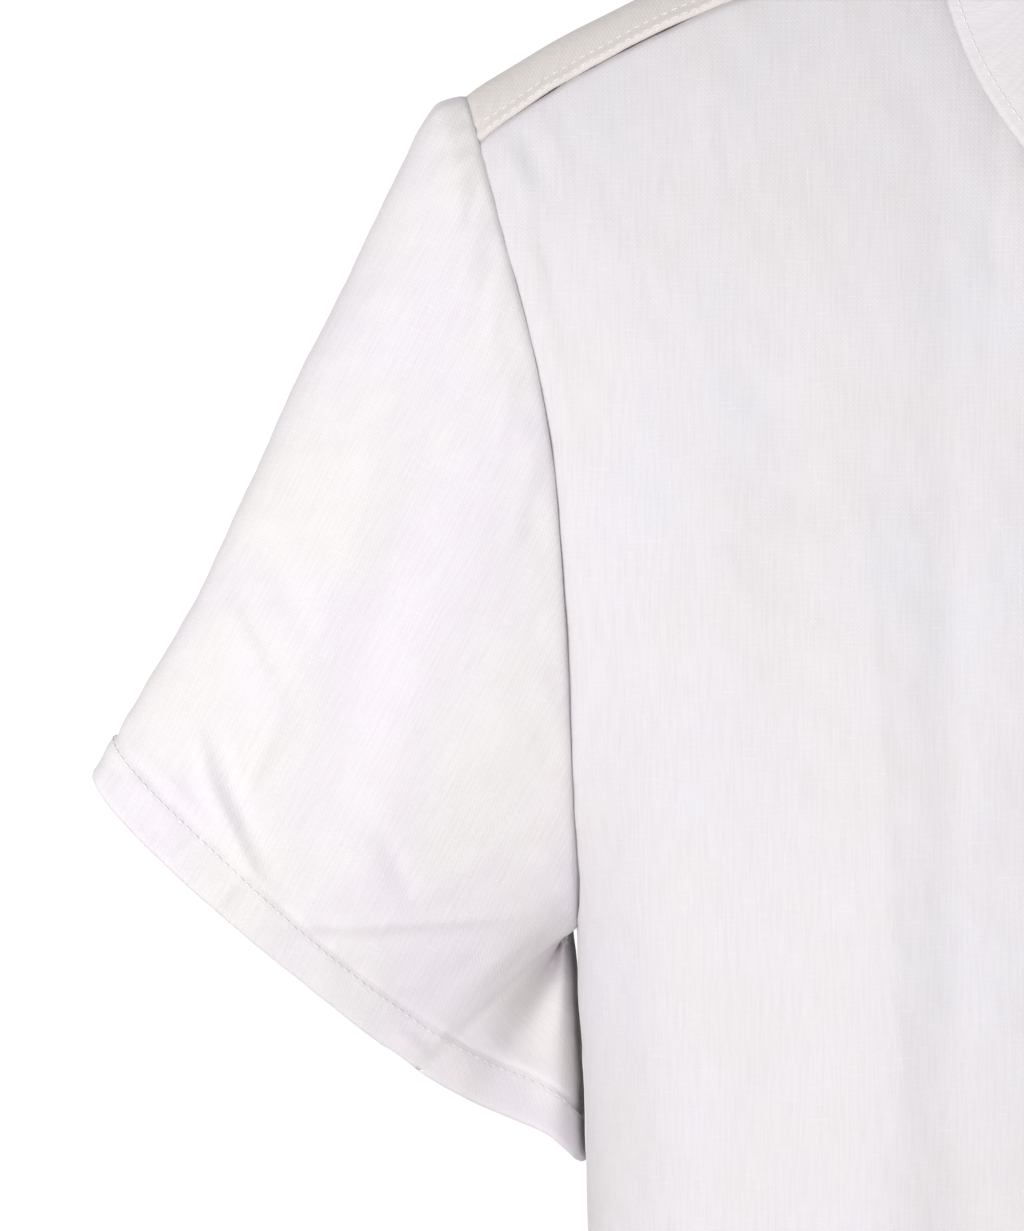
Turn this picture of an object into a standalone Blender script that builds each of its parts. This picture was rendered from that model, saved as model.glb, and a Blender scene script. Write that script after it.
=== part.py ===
# Short-sleeve button-up shirt, filled out and hollow, as it hangs on its wearer's shoulders.
# Metres, +Z up. The origin is the middle of the neck at the height of the shoulder line's inner end.
# The front faces -Y, the wearer's right sleeve is towards -X.
import math
from collections import namedtuple

import bmesh
import bpy
from mathutils import Vector

# Cloth
CLOTH = 0.0012
STAND_CLOTH = 0.0018
SEAM_GAP = 0.0003
HEM_TURN = 0.0125
HEM_PROUD = 0.0005
BODY_HEM = 0.016
HEM_STEP = 0.8

# Body
HEM_HEIGHT = -0.715
ARMPIT_HEIGHT = -0.3027
ARMPIT_SHARE = 0.62
BODY_HEM_SHARE = ARMPIT_SHARE * BODY_HEM / (ARMPIT_HEIGHT - HEM_HEIGHT)
SIDE_DEPTH = -0.008
FULLNESS = 0.82
FOLD_START = 0.03
FOLD_FADE = 0.06
FOLD_SIDE_FADE = 0.17
ARMHOLE_TURN_TOP = math.radians(52.0)
ARMHOLE_TURN_RISE = 0.71

# Shoulder line, from its inner end beside the neck to the armhole seam
SHOULDER_OUT = 0.2258
SHOULDER_DEPTH = 0.008
SHOULDER_DROP = 0.062
SHOULDER_INNER_OUT = 0.078
SHOULDER_INNER_DEPTH = 0.004
SHOULDER_EVEN_DROP = 0.6

# Armhole ring
ARMHOLE_FRONT = 0.044
ARMHOLE_BACK = 0.056
ARMHOLE_BACK_OUT = 0.003
YOKE_FRONT_ANGLE = math.radians(27.0)
YOKE_BACK_ANGLE = math.radians(50.0)

# Yoke
YOKE_FRONT_DROP = 0.011
YOKE_FRONT_DROP_OUT = 0.0045
YOKE_FRONT_DEPTH = -0.024
YOKE_BACK_HEIGHT = -0.095
YOKE_RIDGE_SHARE = 0.3
YOKE_NECK_RIDGE_SHARE = 0.15
YOKE_NECK_START = 0.62
YOKE_RIDGE_BLEND = 0.2
YOKE_BACK_RIDGE_OUT = 0.014
YOKE_BACK_RIDGE_DROP = 0.006
YOKE_EDGE_SHARE = 0.12
PLACKET_COLUMN = 0.036
STAND_EXTRA = 0.034

# Neck seam
NECK_HALF = 0.0655
NECK_FRONT = Vector((0.0, -0.063, -0.072))
NECK_CORNER = Vector((NECK_HALF, -0.024, -0.011))
NECK_BACK = Vector((0.0, 0.052, 0.006))
NECK_SHARE = 0.3125
NECK_SPLIT = 0.38

# Sleeve mouth: an oval between its outer fold and its inner fold
MOUTH_OUTER = Vector((0.3333, -0.025, -0.2578))
MOUTH_INNER = Vector((0.1905, 0.026, -0.3716))
MOUTH_FRONT = Vector((0.0060, -0.034, -0.0078))
MOUTH_UNDER_LIFT = 0.0065
MOUTH_UNDER_ANGLE = math.radians(30.0)
MOUTH_UNDER_WIDTH = math.radians(24.0)
SLEEVE_TWIST = math.radians(66.0)
SLEEVE_FRONT_BULGE = 0.006
SLEEVE_BACK_BULGE = 0.010
SLEEVE_SWELL = 0.6
UNDER_FILL = 0.030
UNDER_FILL_ANGLE = 0.72
UNDER_FILL_WIDTH = 0.33
UNDER_FILL_START = 0.33
UNDER_FILL_EASE = 0.35

# Closing edge
PLACKET_HALF = 0.016
PLACKET_FLAT = 0.003
PLACKET_EASE = 0.020
PLACKET_INSET = 0.001
CLOSING_LIFT = 0.0018
COLLAR_STAND = 0.029
COLLAR_LEAN = 0.004
STAND_FOOT = 0.0011
STAND_OUT = 0.0012
STAND_OVER_START = 0.93
STAND_OVER_LENGTH = 0.05
STAND_FOOT_FRONT = 0.08
STAND_FOOT_FADE = 0.06
COLLAR_FOLD = 0.0045
FOLD_SHARE = 0.25
LEAF_START = 0.006
LOOP_STEP = 0.004
LEAF_CLEAR = 0.0011
COLLAR_POINT_SHIFT = 0.034
COLLAR_POINT_SHARE = 0.2
LEAF_CURVE = 0.8

# Buttons
BUTTON_RADIUS = 0.0056
BUTTON_THICK = 0.0024
BUTTON_HOLE = 0.0008
BUTTON_HOLE_PLACE = 0.0014
BUTTON_SIDES = 16
BUTTON_COUNT = 6
BUTTON_FIRST = -0.128
BUTTON_STEP = 0.088

# Colours, sRGB 0..1, and finishes
LINEN = (0.93, 0.915, 0.915)
LINEN_ROUGH = 0.85
BUTTON_COLOUR = (0.93, 0.92, 0.90)
BUTTON_ROUGH = 0.3

Section = namedtuple("Section", "height half_width front back")
BODY_SECTIONS = [
    Section(-0.715, 0.1985, 0.122, 0.116),
    Section(-0.560, 0.1915, 0.121, 0.107),
    Section(-0.450, 0.1885, 0.121, 0.104),
    Section(-0.370, 0.1904, 0.124, 0.113),
    Section(-0.3027, 0.1933, 0.126, 0.122),
    Section(-0.220, 0.1966, 0.120, 0.125),
    Section(-0.140, 0.2058, 0.099, 0.115),
    Section(-0.095, 0.2170, 0.078, 0.098),
    Section(-0.072, 0.2230, 0.063, 0.086),
]

Armhole = namedtuple("Armhole", "height out")
ARMHOLE_LINE = [
    Armhole(-0.3027, 0.1933),
    Armhole(-0.2433, 0.1957),
    Armhole(-0.1766, 0.1997),
    Armhole(-0.1390, 0.2058),
    Armhole(-0.0955, 0.2168),
    Armhole(-0.0620, 0.2258),
]

# Outer fold of the sleeve, as a distance out from the straight line between its ends
Fold = namedtuple("Fold", "share out")
SLEEVE_TOP = [
    Fold(0.00, 0.0000),
    Fold(0.03, 0.0062),
    Fold(0.12, 0.0070),
    Fold(0.30, 0.0046),
    Fold(0.45, 0.0026),
    Fold(0.60, 0.0006),
    Fold(0.72, -0.0010),
    Fold(0.82, -0.0012),
    Fold(0.93, -0.0004),
    Fold(1.00, 0.0000),
]

# Soft upright folds of the body: where they run, how wide they are and how far they stand out
BodyFold = namedtuple("BodyFold", "across_top across_hem high low width rise")
FRONT_FOLDS = [
    BodyFold(0.168, 0.160, -0.10, -0.60, 0.016, 0.0022),
    BodyFold(0.145, 0.132, -0.16, -0.90, 0.015, -0.0022),
    BodyFold(0.104, 0.112, -0.14, -0.90, 0.018, 0.0026),
    BodyFold(0.082, 0.086, -0.26, -0.90, 0.014, -0.0018),
    BodyFold(0.050, 0.060, -0.36, -0.90, 0.016, 0.0020),
]
BACK_FOLDS = [
    BodyFold(0.150, 0.140, -0.16, -0.90, 0.020, 0.0030),
    BodyFold(0.110, 0.100, -0.22, -0.90, 0.018, -0.0030),
    BodyFold(0.066, 0.058, -0.16, -0.90, 0.020, 0.0028),
    BodyFold(0.024, 0.020, -0.30, -0.90, 0.018, -0.0024),
]

# Collar leaf, from the front edge round to the middle of the back
Leaf = namedtuple("Leaf", "share drop flare")
COLLAR_LEAF = [
    Leaf(0.00, 0.056, 0.0240),
    Leaf(0.06, 0.055, 0.0260),
    Leaf(0.12, 0.046, 0.0270),
    Leaf(0.17, 0.035, 0.0265),
    Leaf(0.22, 0.0275, 0.0255),
    Leaf(0.32, 0.0275, 0.0205),
    Leaf(0.42, 0.029, 0.017),
    Leaf(0.50, 0.029, 0.016),
]

# Outline of a button, from the middle of its face round to the middle of its back, in radii and thicknesses
ButtonRing = namedtuple("ButtonRing", "out height")
BUTTON_RINGS = [
    ButtonRing(0.00, 0.71),
    ButtonRing(0.62, 0.71),
    ButtonRing(0.74, 1.00),
    ButtonRing(0.92, 1.00),
    ButtonRing(1.00, 0.72),
    ButtonRing(0.90, 0.20),
    ButtonRing(0.72, 0.00),
    ButtonRing(0.00, 0.00),
]

# Grid counts
FRONT_COLUMNS = 16
BACK_COLUMNS = 22
LOWER_ROWS = 7
UPPER_ROWS = 10
YOKE_SHOULDER_COLUMNS = 8
YOKE_NECK_COLUMNS = 8
YOKE_ROWS = 7
SLEEVE_COLUMNS = 30
SLEEVE_ROWS = [0.0, 0.03, 0.07, 0.13, 0.22, 0.33, 0.45, 0.57, 0.69, 0.80, 0.90, 1.0, 1.05, 2.0]


def mix(start, end, share):
    return start + (end - start) * share


def smooth(share):
    share = min(max(share, 0.0), 1.0)
    return share * share * (3.0 - 2.0 * share)


def read(table, place, column):
    """Smooth curve through one column of a table whose first column rises."""
    places = [row[0] for row in table]
    values = [getattr(row, column) for row in table]
    last = len(places) - 1
    if place <= places[0]:
        return values[0]
    if place >= places[last]:
        return values[last]
    k = max(i for i in range(last) if places[i] <= place)

    def slope(i):
        if i == 0:
            return (values[1] - values[0]) / (places[1] - places[0])
        if i == last:
            return (values[last] - values[last - 1]) / (places[last] - places[last - 1])
        return (values[i + 1] - values[i - 1]) / (places[i + 1] - places[i - 1])

    width = places[k + 1] - places[k]
    t = (place - places[k]) / width
    start = (2 * t ** 3 - 3 * t ** 2 + 1) * values[k] + (t ** 3 - 2 * t ** 2 + t) * width * slope(k)
    end = (3 * t ** 2 - 2 * t ** 3) * values[k + 1] + (t ** 3 - t ** 2) * width * slope(k + 1)
    return start + end


def folds_at(table, across, height):
    """How far the soft folds stand out at one place of the body."""
    total = 0.0
    for fold in table:
        share = (fold.high - height) / (fold.high - fold.low)
        if share <= 0.0:
            continue
        middle = mix(fold.across_top, fold.across_hem, share)
        fade = smooth(share * 4.0)
        total += fold.rise * fade * math.exp(-((across - middle) / fold.width) ** 2)
    return total


def armhole(angle):
    """Ring of the armhole: 0 at the shoulder, a half turn at the armpit, the front side first."""
    share = (1.0 - math.cos(angle)) / 2.0
    height = mix(-SHOULDER_DROP, ARMPIT_HEIGHT, share)
    side = math.sin(angle)
    reach = ARMHOLE_FRONT if side > 0.0 else ARMHOLE_BACK
    out = read(ARMHOLE_LINE, height, "out") + ARMHOLE_BACK_OUT * max(0.0, -side)
    return Vector((out, mix(SHOULDER_DEPTH, SIDE_DEPTH, share) - reach * side, height))


def shoulder_line(share):
    """Highest line of the shoulder, from beside the neck (0) to the armhole (1)."""
    out = mix(NECK_HALF, SHOULDER_OUT, share)
    drop = SHOULDER_DROP * mix(share ** 3, share, SHOULDER_EVEN_DROP)
    return Vector((out, mix(SHOULDER_INNER_DEPTH, SHOULDER_DEPTH, share), -drop))


def neck_front(share):
    """Neck seam of one front, from the middle (0) to the yoke's corner (1)."""
    angle = share * math.pi / 2.0
    rise = 1.0 - math.cos(angle)
    return Vector((NECK_CORNER.x * math.sin(angle), mix(NECK_FRONT.y, NECK_CORNER.y, rise),
                   mix(NECK_FRONT.z, NECK_CORNER.z, rise)))


def neck_back(share):
    """Neck seam of the yoke, from its front corner (0) to the middle of the back (1)."""
    angle = share * math.pi / 2.0
    turn = math.sin(angle)
    return Vector((NECK_HALF * math.cos(angle), mix(NECK_CORNER.y, NECK_BACK.y, turn),
                   mix(NECK_CORNER.z, NECK_BACK.z, 1.0 - (1.0 - turn) ** 2)))


def yoke_front_seam(share):
    """Seam between yoke and front, from the neck (0) to the armhole (1)."""
    end = armhole(YOKE_FRONT_ANGLE)
    out = mix(NECK_HALF, end.x, share)
    line = shoulder_line((out - NECK_HALF) / (SHOULDER_OUT - NECK_HALF))
    drop = YOKE_FRONT_DROP + YOKE_FRONT_DROP_OUT * share ** 5
    point = Vector((out, mix(YOKE_FRONT_DEPTH, end.y, share), line.z - drop))
    return point + (end - point) * share ** 6


def yoke_back_seam(across):
    """Seam between yoke and back, from the middle (0) to the armhole (1)."""
    end = armhole(2.0 * math.pi - YOKE_BACK_ANGLE)
    middle = read(BODY_SECTIONS, YOKE_BACK_HEIGHT, "back")
    angle = across * ARMHOLE_TURN_TOP
    share = (math.sin(angle) / math.sin(ARMHOLE_TURN_TOP)) ** FULLNESS
    turn = (1.0 - math.cos(angle)) / (1.0 - math.cos(ARMHOLE_TURN_TOP))
    return Vector((end.x * share, mix(middle, end.y, turn), mix(YOKE_BACK_HEIGHT, end.z, across ** 2)))


def body_arc(across, turn_end, centre, edge):
    """Part of a rounded section, from the middle of the body to the edge of the panel."""
    angle = across * turn_end
    share = (math.sin(angle) / math.sin(turn_end)) ** FULLNESS
    fall = 1.0 - max(0.0, math.cos(angle)) ** FULLNESS
    turn = fall / (1.0 - max(0.0, math.cos(turn_end)) ** FULLNESS)
    return Vector((mix(centre.x, edge.x, share), mix(centre.y, edge.y, turn),
                   mix(centre.z, edge.z, across ** 1.5)))


def body_panel(across, share, back):
    """Outer surface of one half of the body, hem (0) to neck and shoulder seams (1)."""
    side = 1.0 if back else -1.0
    column = "back" if back else "front"
    if share <= ARMPIT_SHARE:
        height = mix(HEM_HEIGHT, ARMPIT_HEIGHT, share / ARMPIT_SHARE)
        centre = Vector((0.0, side * read(BODY_SECTIONS, height, column), height))
        proud = HEM_PROUD if share < BODY_HEM_SHARE else 0.0
        centre.y += side * proud
        edge = Vector((read(BODY_SECTIONS, height, "half_width") + proud, SIDE_DEPTH, height))
        point = body_arc(across, math.pi / 2.0, centre, edge)
    else:
        rise = (share - ARMPIT_SHARE) / (1.0 - ARMPIT_SHARE)
        top_height = YOKE_BACK_HEIGHT if back else NECK_FRONT.z
        height = mix(ARMPIT_HEIGHT, top_height, rise)
        centre = Vector((0.0, side * read(BODY_SECTIONS, height, column), height))
        top_angle = YOKE_BACK_ANGLE if back else YOKE_FRONT_ANGLE
        angle = mix(math.pi, top_angle, rise)
        edge = armhole(2.0 * math.pi - angle if back else angle)
        turn_end = mix(math.pi / 2.0, ARMHOLE_TURN_TOP, smooth(rise / ARMHOLE_TURN_RISE))
        point = body_arc(across, turn_end, centre, edge)
        top_centre = Vector((0.0, side * read(BODY_SECTIONS, top_height, column), top_height))
        top_edge = armhole(2.0 * math.pi - top_angle if back else top_angle)
        arc_top = body_arc(across, ARMHOLE_TURN_TOP, top_centre, top_edge)
        point += (body_top(across, back) - arc_top) * rise ** 2
    fade = smooth((1.0 - across) / FOLD_SIDE_FADE) * smooth((NECK_FRONT.z - FOLD_START - point.z) / FOLD_FADE)
    point.y += side * fade * folds_at(BACK_FOLDS if back else FRONT_FOLDS, point.x, point.z)
    return point


def body_top(across, back):
    """Top edge of a body panel: the back yoke seam, or the neck seam and then the yoke's front seam."""
    if back:
        return yoke_back_seam(across)
    if across < NECK_SHARE:
        return neck_front(across / NECK_SHARE)
    return yoke_front_seam((across - NECK_SHARE) / (1.0 - NECK_SHARE))


def sleeve_point(angle, row):
    """Outer surface of the sleeve, from the armhole (0) to its hem's stitching (1) and its mouth (2)."""
    start = armhole(angle)
    turn = math.pi - angle + SLEEVE_TWIST * (1.0 - math.cos(angle)) / 2.0
    centre = (MOUTH_OUTER + MOUTH_INNER) / 2.0
    reach = (MOUTH_INNER - MOUTH_OUTER) / 2.0
    end = centre + reach * math.cos(turn) + MOUTH_FRONT * math.sin(turn)
    past = (turn - MOUTH_UNDER_ANGLE + math.pi) % (2.0 * math.pi) - math.pi
    end.z += MOUTH_UNDER_LIFT * math.exp(-(past / MOUTH_UNDER_WIDTH) ** 2)
    hem = HEM_TURN / (end - start).length
    share = row * (1.0 - hem) if row <= 1.0 else 1.0 - hem * (2.0 - row)
    point = start.lerp(end, share)
    if row > 1.0:
        point += (end - centre).normalized() * HEM_PROUD
    top = max(0.0, math.cos(angle / 2.0) ** 2) ** 3
    line = Vector((MOUTH_OUTER.x - SHOULDER_OUT, 0.0, MOUTH_OUTER.z + SHOULDER_DROP)).normalized()
    point += Vector((-line.z, 0.0, line.x)) * read(SLEEVE_TOP, share, "out") * top
    side = math.sin(angle)
    bulge = SLEEVE_FRONT_BULGE if side > 0.0 else SLEEVE_BACK_BULGE
    swell = math.sin(math.pi * min(1.0, share) ** SLEEVE_SWELL)
    point.y -= bulge * side * swell
    # fold of loose cloth beside the underarm seam, brought forward next to the body
    behind = (angle - UNDER_FILL_ANGLE) % (2.0 * math.pi) - math.pi
    fold = math.exp(-(behind / UNDER_FILL_WIDTH) ** 2) * smooth(share / UNDER_FILL_START)
    point.y -= UNDER_FILL * fold * (1.0 - UNDER_FILL_EASE * share)
    return point


def neck_loop(share):
    """The whole neck seam, from the middle of the front round the wearer's right side and back."""
    half = share if share <= 0.5 else 1.0 - share
    side = -1.0 if share <= 0.5 else 1.0
    if half < 0.0:
        half = -half
        side = -side
    if half * 2.0 < NECK_SPLIT:
        point = neck_front(half * 2.0 / NECK_SPLIT)
    else:
        point = neck_back((half * 2.0 - NECK_SPLIT) / (1.0 - NECK_SPLIT))
    return Vector((point.x * side, point.y, point.z))


def neck_along(share):
    """Direction along the neck seam."""
    return (neck_loop(share + LOOP_STEP) - neck_loop(share - LOOP_STEP)).normalized()


def neck_outward(share):
    """Level direction out from the neck at a place of the neck seam."""
    along = neck_along(share)
    return Vector((-along.y, along.x, 0.0)).normalized()


def stand_point(share, rise):
    """Outer face of the collar stand; its left end lies over its right end at the front."""
    out = neck_outward(share)
    over = smooth((share - STAND_OVER_START) / STAND_OVER_LENGTH) * (STAND_CLOTH + SEAM_GAP)
    lean = COLLAR_LEAN * rise
    near_front = 1.0 - smooth((min(share, 1.0 - share) - STAND_FOOT_FRONT) / STAND_FOOT_FADE)
    foot = STAND_FOOT + (CLOTH + SEAM_GAP) * near_front
    return neck_loop(share) + out * (over + STAND_OUT - lean) + Vector((0.0, 0.0, foot + COLLAR_STAND * rise))


def leaf_point(share, spread):
    """Outer face of the collar leaf, from inside the fold (0) over it and down to its edge (1)."""
    half = share if share <= 0.5 else 1.0 - share
    out = neck_outward(share)
    top = stand_point(share, 1.0)
    over = smooth((share - STAND_OVER_START) / STAND_OVER_LENGTH) * (STAND_CLOTH + SEAM_GAP)
    top -= out * over
    rise = Vector((0.0, 0.0, 1.0))
    clear = LEAF_CLEAR * (1.0 + abs(neck_along(share).z))
    if spread < FOLD_SHARE:
        angle = math.pi * spread / FOLD_SHARE
        across = mix(-STAND_CLOTH, COLLAR_FOLD, (1.0 - math.cos(angle)) / 2.0)
        return top + out * across + rise * (clear + COLLAR_FOLD * LEAF_CURVE * math.sin(angle))
    down = (spread - FOLD_SHARE) / (1.0 - FOLD_SHARE)
    drop = read(COLLAR_LEAF, half, "drop")
    flare = read(COLLAR_LEAF, half, "flare")
    point = top + out * mix(COLLAR_FOLD, flare, down ** LEAF_CURVE) + rise * mix(clear, -drop, down)
    shift = COLLAR_POINT_SHIFT * max(0.0, 1.0 - half / COLLAR_POINT_SHARE) ** 2 * down
    point.x += -shift if share <= 0.5 else shift
    return point


def surface_object(name, columns, rows, place, material, thick=CLOTH, hold=(1, 1, 1, 1), flip=False,
                   weld=False):
    """Open cloth surface on a grid, given its thickness inwards. Hold-backs leave the seam gaps."""
    mesh = bmesh.new()
    bmesh.ops.create_grid(mesh, x_segments=len(columns) - 1, y_segments=len(rows) - 1, size=1.0)
    points = [[place(column, row) for column in columns] for row in rows]
    last_column = len(columns) - 1
    last_row = len(rows) - 1
    left, right, bottom, top = (SEAM_GAP / 2.0 * amount for amount in hold)
    moves = []
    for j in range(last_row + 1):
        for i in range(last_column + 1):
            move = Vector()
            if i == 0 and left:
                move += (points[j][1] - points[j][0]).normalized() * left
            if i == last_column and right:
                move += (points[j][i - 1] - points[j][i]).normalized() * right
            if j == 0 and bottom:
                move += (points[1][i] - points[0][i]).normalized() * bottom
            if j == last_row and top:
                move += (points[j - 1][i] - points[j][i]).normalized() * top
            moves.append((j, i, move))
    for j, i, move in moves:
        points[j][i] = points[j][i] + move
    mesh.verts.ensure_lookup_table()
    for vertex in mesh.verts:
        i = round((vertex.co.x + 1.0) / 2.0 * last_column)
        j = round((vertex.co.y + 1.0) / 2.0 * last_row)
        vertex.co = points[j][i]
    if weld:
        bmesh.ops.remove_doubles(mesh, verts=mesh.verts, dist=0.00001)
    if flip:
        bmesh.ops.reverse_faces(mesh, faces=mesh.faces)
    data = bpy.data.meshes.new(name)
    mesh.to_mesh(data)
    mesh.free()
    data.shade_smooth()
    data.materials.append(material)
    item = bpy.data.objects.new(name, data)
    shirt.objects.link(item)
    wall = item.modifiers.new("cloth", "SOLIDIFY")
    wall.thickness = thick
    wall.offset = -1.0
    return item


def steps(count, start=0.0, end=1.0):
    return [mix(start, end, i / count) for i in range(count + 1)]


def linear(colour):
    return [c / 12.92 if c <= 0.04045 else ((c + 0.055) / 1.055) ** 2.4 for c in colour]


def make_material(name, colour, roughness):
    material = bpy.data.materials.new(name)
    material.use_nodes = True
    shader = material.node_tree.nodes["Principled BSDF"]
    shader.inputs["Base Color"].default_value = (*linear(colour), 1.0)
    shader.inputs["Roughness"].default_value = roughness
    shader.inputs["Metallic"].default_value = 0.0
    return material


def mirrored(place, side):
    def point(across, share):
        found = place(across, share)
        return Vector((found.x * side, found.y, found.z))
    return point


def front_with_edge(side):
    """One front: it reaches past the middle by half a placket, the left one over the right one."""
    def point(across, share):
        found = body_panel(max(across, 0.0), share, False)
        if across < 0.0:
            found.x = -PLACKET_HALF
        if side > 0.0:
            found.y -= CLOSING_LIFT * (1.0 - smooth((found.x - PLACKET_HALF - PLACKET_FLAT) / PLACKET_EASE))
        return Vector((found.x * side, found.y, found.z))
    return point


def body_rows():
    hem = [0.0, BODY_HEM_SHARE * HEM_STEP, BODY_HEM_SHARE]
    return hem + steps(LOWER_ROWS, BODY_HEM_SHARE, ARMPIT_SHARE)[1:] + steps(UPPER_ROWS, ARMPIT_SHARE)[1:]


def make_fronts():
    rows = body_rows()
    for side, name in ((-1.0, "right_front"), (1.0, "left_front")):
        columns = [-1.0, 0.0, PLACKET_COLUMN] + steps(FRONT_COLUMNS)[1:]
        surface_object(name, columns, rows, front_with_edge(side), make_material(name, LINEN, LINEN_ROUGH),
                       hold=(0, 1, 0, 2), flip=side < 0.0)


def make_back():
    def point(across, share):
        found = body_panel(abs(across), share, True)
        return Vector((found.x * (1.0 if across > 0.0 else -1.0), found.y, found.z))
    surface_object("back", steps(BACK_COLUMNS, -1.0, 1.0), body_rows(), point,
                   make_material("back", LINEN, LINEN_ROUGH), hold=(1, 1, 0, 2), flip=True)


def yoke_point(across, share):
    """One half of the yoke: from the armhole (0) to the middle of the back (1), front seam to back seam."""
    neck_start = YOKE_NECK_START
    inner_share = (SHOULDER_INNER_OUT - NECK_HALF) / (SHOULDER_OUT - NECK_HALF)
    if across < neck_start:
        q = 1.0 - across / neck_start
        top = yoke_front_seam(q)
        ridge = shoulder_line(mix(inner_share, 1.0, q))
    else:
        q = (across - neck_start) / (1.0 - neck_start)
        top = neck_back(q)
        inner = shoulder_line(inner_share)
        angle = q * math.pi / 2.0
        ridge = Vector((inner.x * math.cos(angle),
                        mix(inner.y, NECK_BACK.y + YOKE_BACK_RIDGE_OUT, math.sin(angle)),
                        mix(inner.z, NECK_BACK.z - YOKE_BACK_RIDGE_DROP, q)))
    bottom = yoke_back_seam(1.0 - across)
    c = mix(YOKE_RIDGE_SHARE, YOKE_NECK_RIDGE_SHARE, smooth((across - neck_start) / YOKE_RIDGE_BLEND))

    def through(a, m, b, s):
        first = a * ((s - c) * (s - 1.0) / c)
        last = b * (s * (s - c) / (1.0 - c))
        return first + m * (s * (s - 1.0) / (c * (c - 1.0))) + last
    point = through(top, ridge, bottom, share)
    edge_weight = max(0.0, 1.0 - across / YOKE_EDGE_SHARE) ** 2
    if edge_weight > 0.0:
        e_top = yoke_front_seam(1.0)
        e_ridge = armhole(0.0)
        e_bottom = yoke_back_seam(1.0)
        turn = mix(YOKE_FRONT_ANGLE, -YOKE_BACK_ANGLE, share)
        ring = armhole(turn if turn >= 0.0 else 2.0 * math.pi + turn)
        point += (ring - through(e_top, e_ridge, e_bottom, share)) * edge_weight
    return point


def make_yoke():
    def point(across, share):
        found = yoke_point(1.0 - abs(across), share)
        return Vector((found.x * (1.0 if across > 0.0 else -1.0), found.y, found.z))
    half = steps(YOKE_NECK_COLUMNS, 0.0, 1.0 - YOKE_NECK_START)[:-1] \
        + steps(YOKE_SHOULDER_COLUMNS, 1.0 - YOKE_NECK_START, 1.0)
    columns = [-place for place in reversed(half[1:])] + half
    surface_object("yoke", columns, steps(YOKE_ROWS), point, make_material("yoke", LINEN, LINEN_ROUGH),
                   hold=(1, 1, 2, 2))


def make_sleeves():
    rows = SLEEVE_ROWS
    for side, name in ((-1.0, "right_sleeve"), (1.0, "left_sleeve")):
        columns = [math.pi + 2.0 * math.pi * i / SLEEVE_COLUMNS for i in range(SLEEVE_COLUMNS + 1)]
        surface_object(name, columns, rows, mirrored(sleeve_point, side),
                       make_material(name, LINEN, LINEN_ROUGH), hold=(0, 0, 5, 0), flip=side < 0.0, weld=True)


def neck_stations():
    """Places along the neck loop that match the columns of the fronts and the yoke."""
    front = [0.0, PLACKET_COLUMN] + steps(FRONT_COLUMNS)[1:]
    half = [NECK_SPLIT / 2.0 * across / NECK_SHARE for across in front if across <= NECK_SHARE]
    half += steps(YOKE_NECK_COLUMNS, NECK_SPLIT / 2.0, 0.5)[1:]
    return half + [1.0 - share for share in reversed(half[:-1])]


def make_collar():
    shares = [-STAND_EXTRA] + neck_stations() + [1.0 + STAND_EXTRA]
    surface_object("collar_stand", shares, steps(2), stand_point,
                   make_material("collar_stand", LINEN, LINEN_ROUGH), thick=STAND_CLOTH, hold=(0, 0, 0, 0),
                   flip=True)
    spread = steps(4, 0.0, FOLD_SHARE) + steps(3, FOLD_SHARE, 1.0)[1:]
    shares = [LEAF_START] + neck_stations()[1:-1] + [1.0 - LEAF_START]
    surface_object("collar_leaf", shares, spread, leaf_point,
                   make_material("collar_leaf", LINEN, LINEN_ROUGH), thick=STAND_CLOTH, hold=(0, 0, 0, 0))


def centre_front(out, share):
    """Front surface at a number of metres from the middle."""
    low, high = 0.0, NECK_SHARE
    for _ in range(24):
        middle = (low + high) / 2.0
        if body_panel(middle, share, False).x < abs(out):
            low = middle
        else:
            high = middle
    point = body_panel(low, share, False)
    return Vector((out, point.y, point.z))


def make_placket():
    lift = CLOSING_LIFT + CLOTH + SEAM_GAP

    def point(out, share):
        return centre_front(max(out, 0.0), share) + Vector((min(out, 0.0), -lift, 0.0))
    surface_object("front_placket", steps(4, -PLACKET_HALF, PLACKET_HALF - PLACKET_INSET), body_rows(), point,
                   make_material("front_placket", LINEN, LINEN_ROUGH), hold=(0, 0, 1, 2))


def button_mesh():
    """Four-hole button lying on the ground, its back face at the origin and its face up."""
    mesh = bmesh.new()
    line = []
    for ring in BUTTON_RINGS:
        line.append(mesh.verts.new((BUTTON_RADIUS * ring.out, 0.0, BUTTON_THICK * ring.height)))
    for first, second in zip(line, line[1:]):
        mesh.edges.new((first, second))
    bmesh.ops.spin(mesh, geom=mesh.verts[:] + mesh.edges[:], cent=(0, 0, 0), axis=(0, 0, 1),
                   angle=2.0 * math.pi, steps=BUTTON_SIDES, use_merge=True)
    bmesh.ops.remove_doubles(mesh, verts=mesh.verts, dist=0.00001)
    bmesh.ops.recalc_face_normals(mesh, faces=mesh.faces)
    data = bpy.data.meshes.new("button_disc")
    mesh.to_mesh(data)
    mesh.free()
    return data


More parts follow.
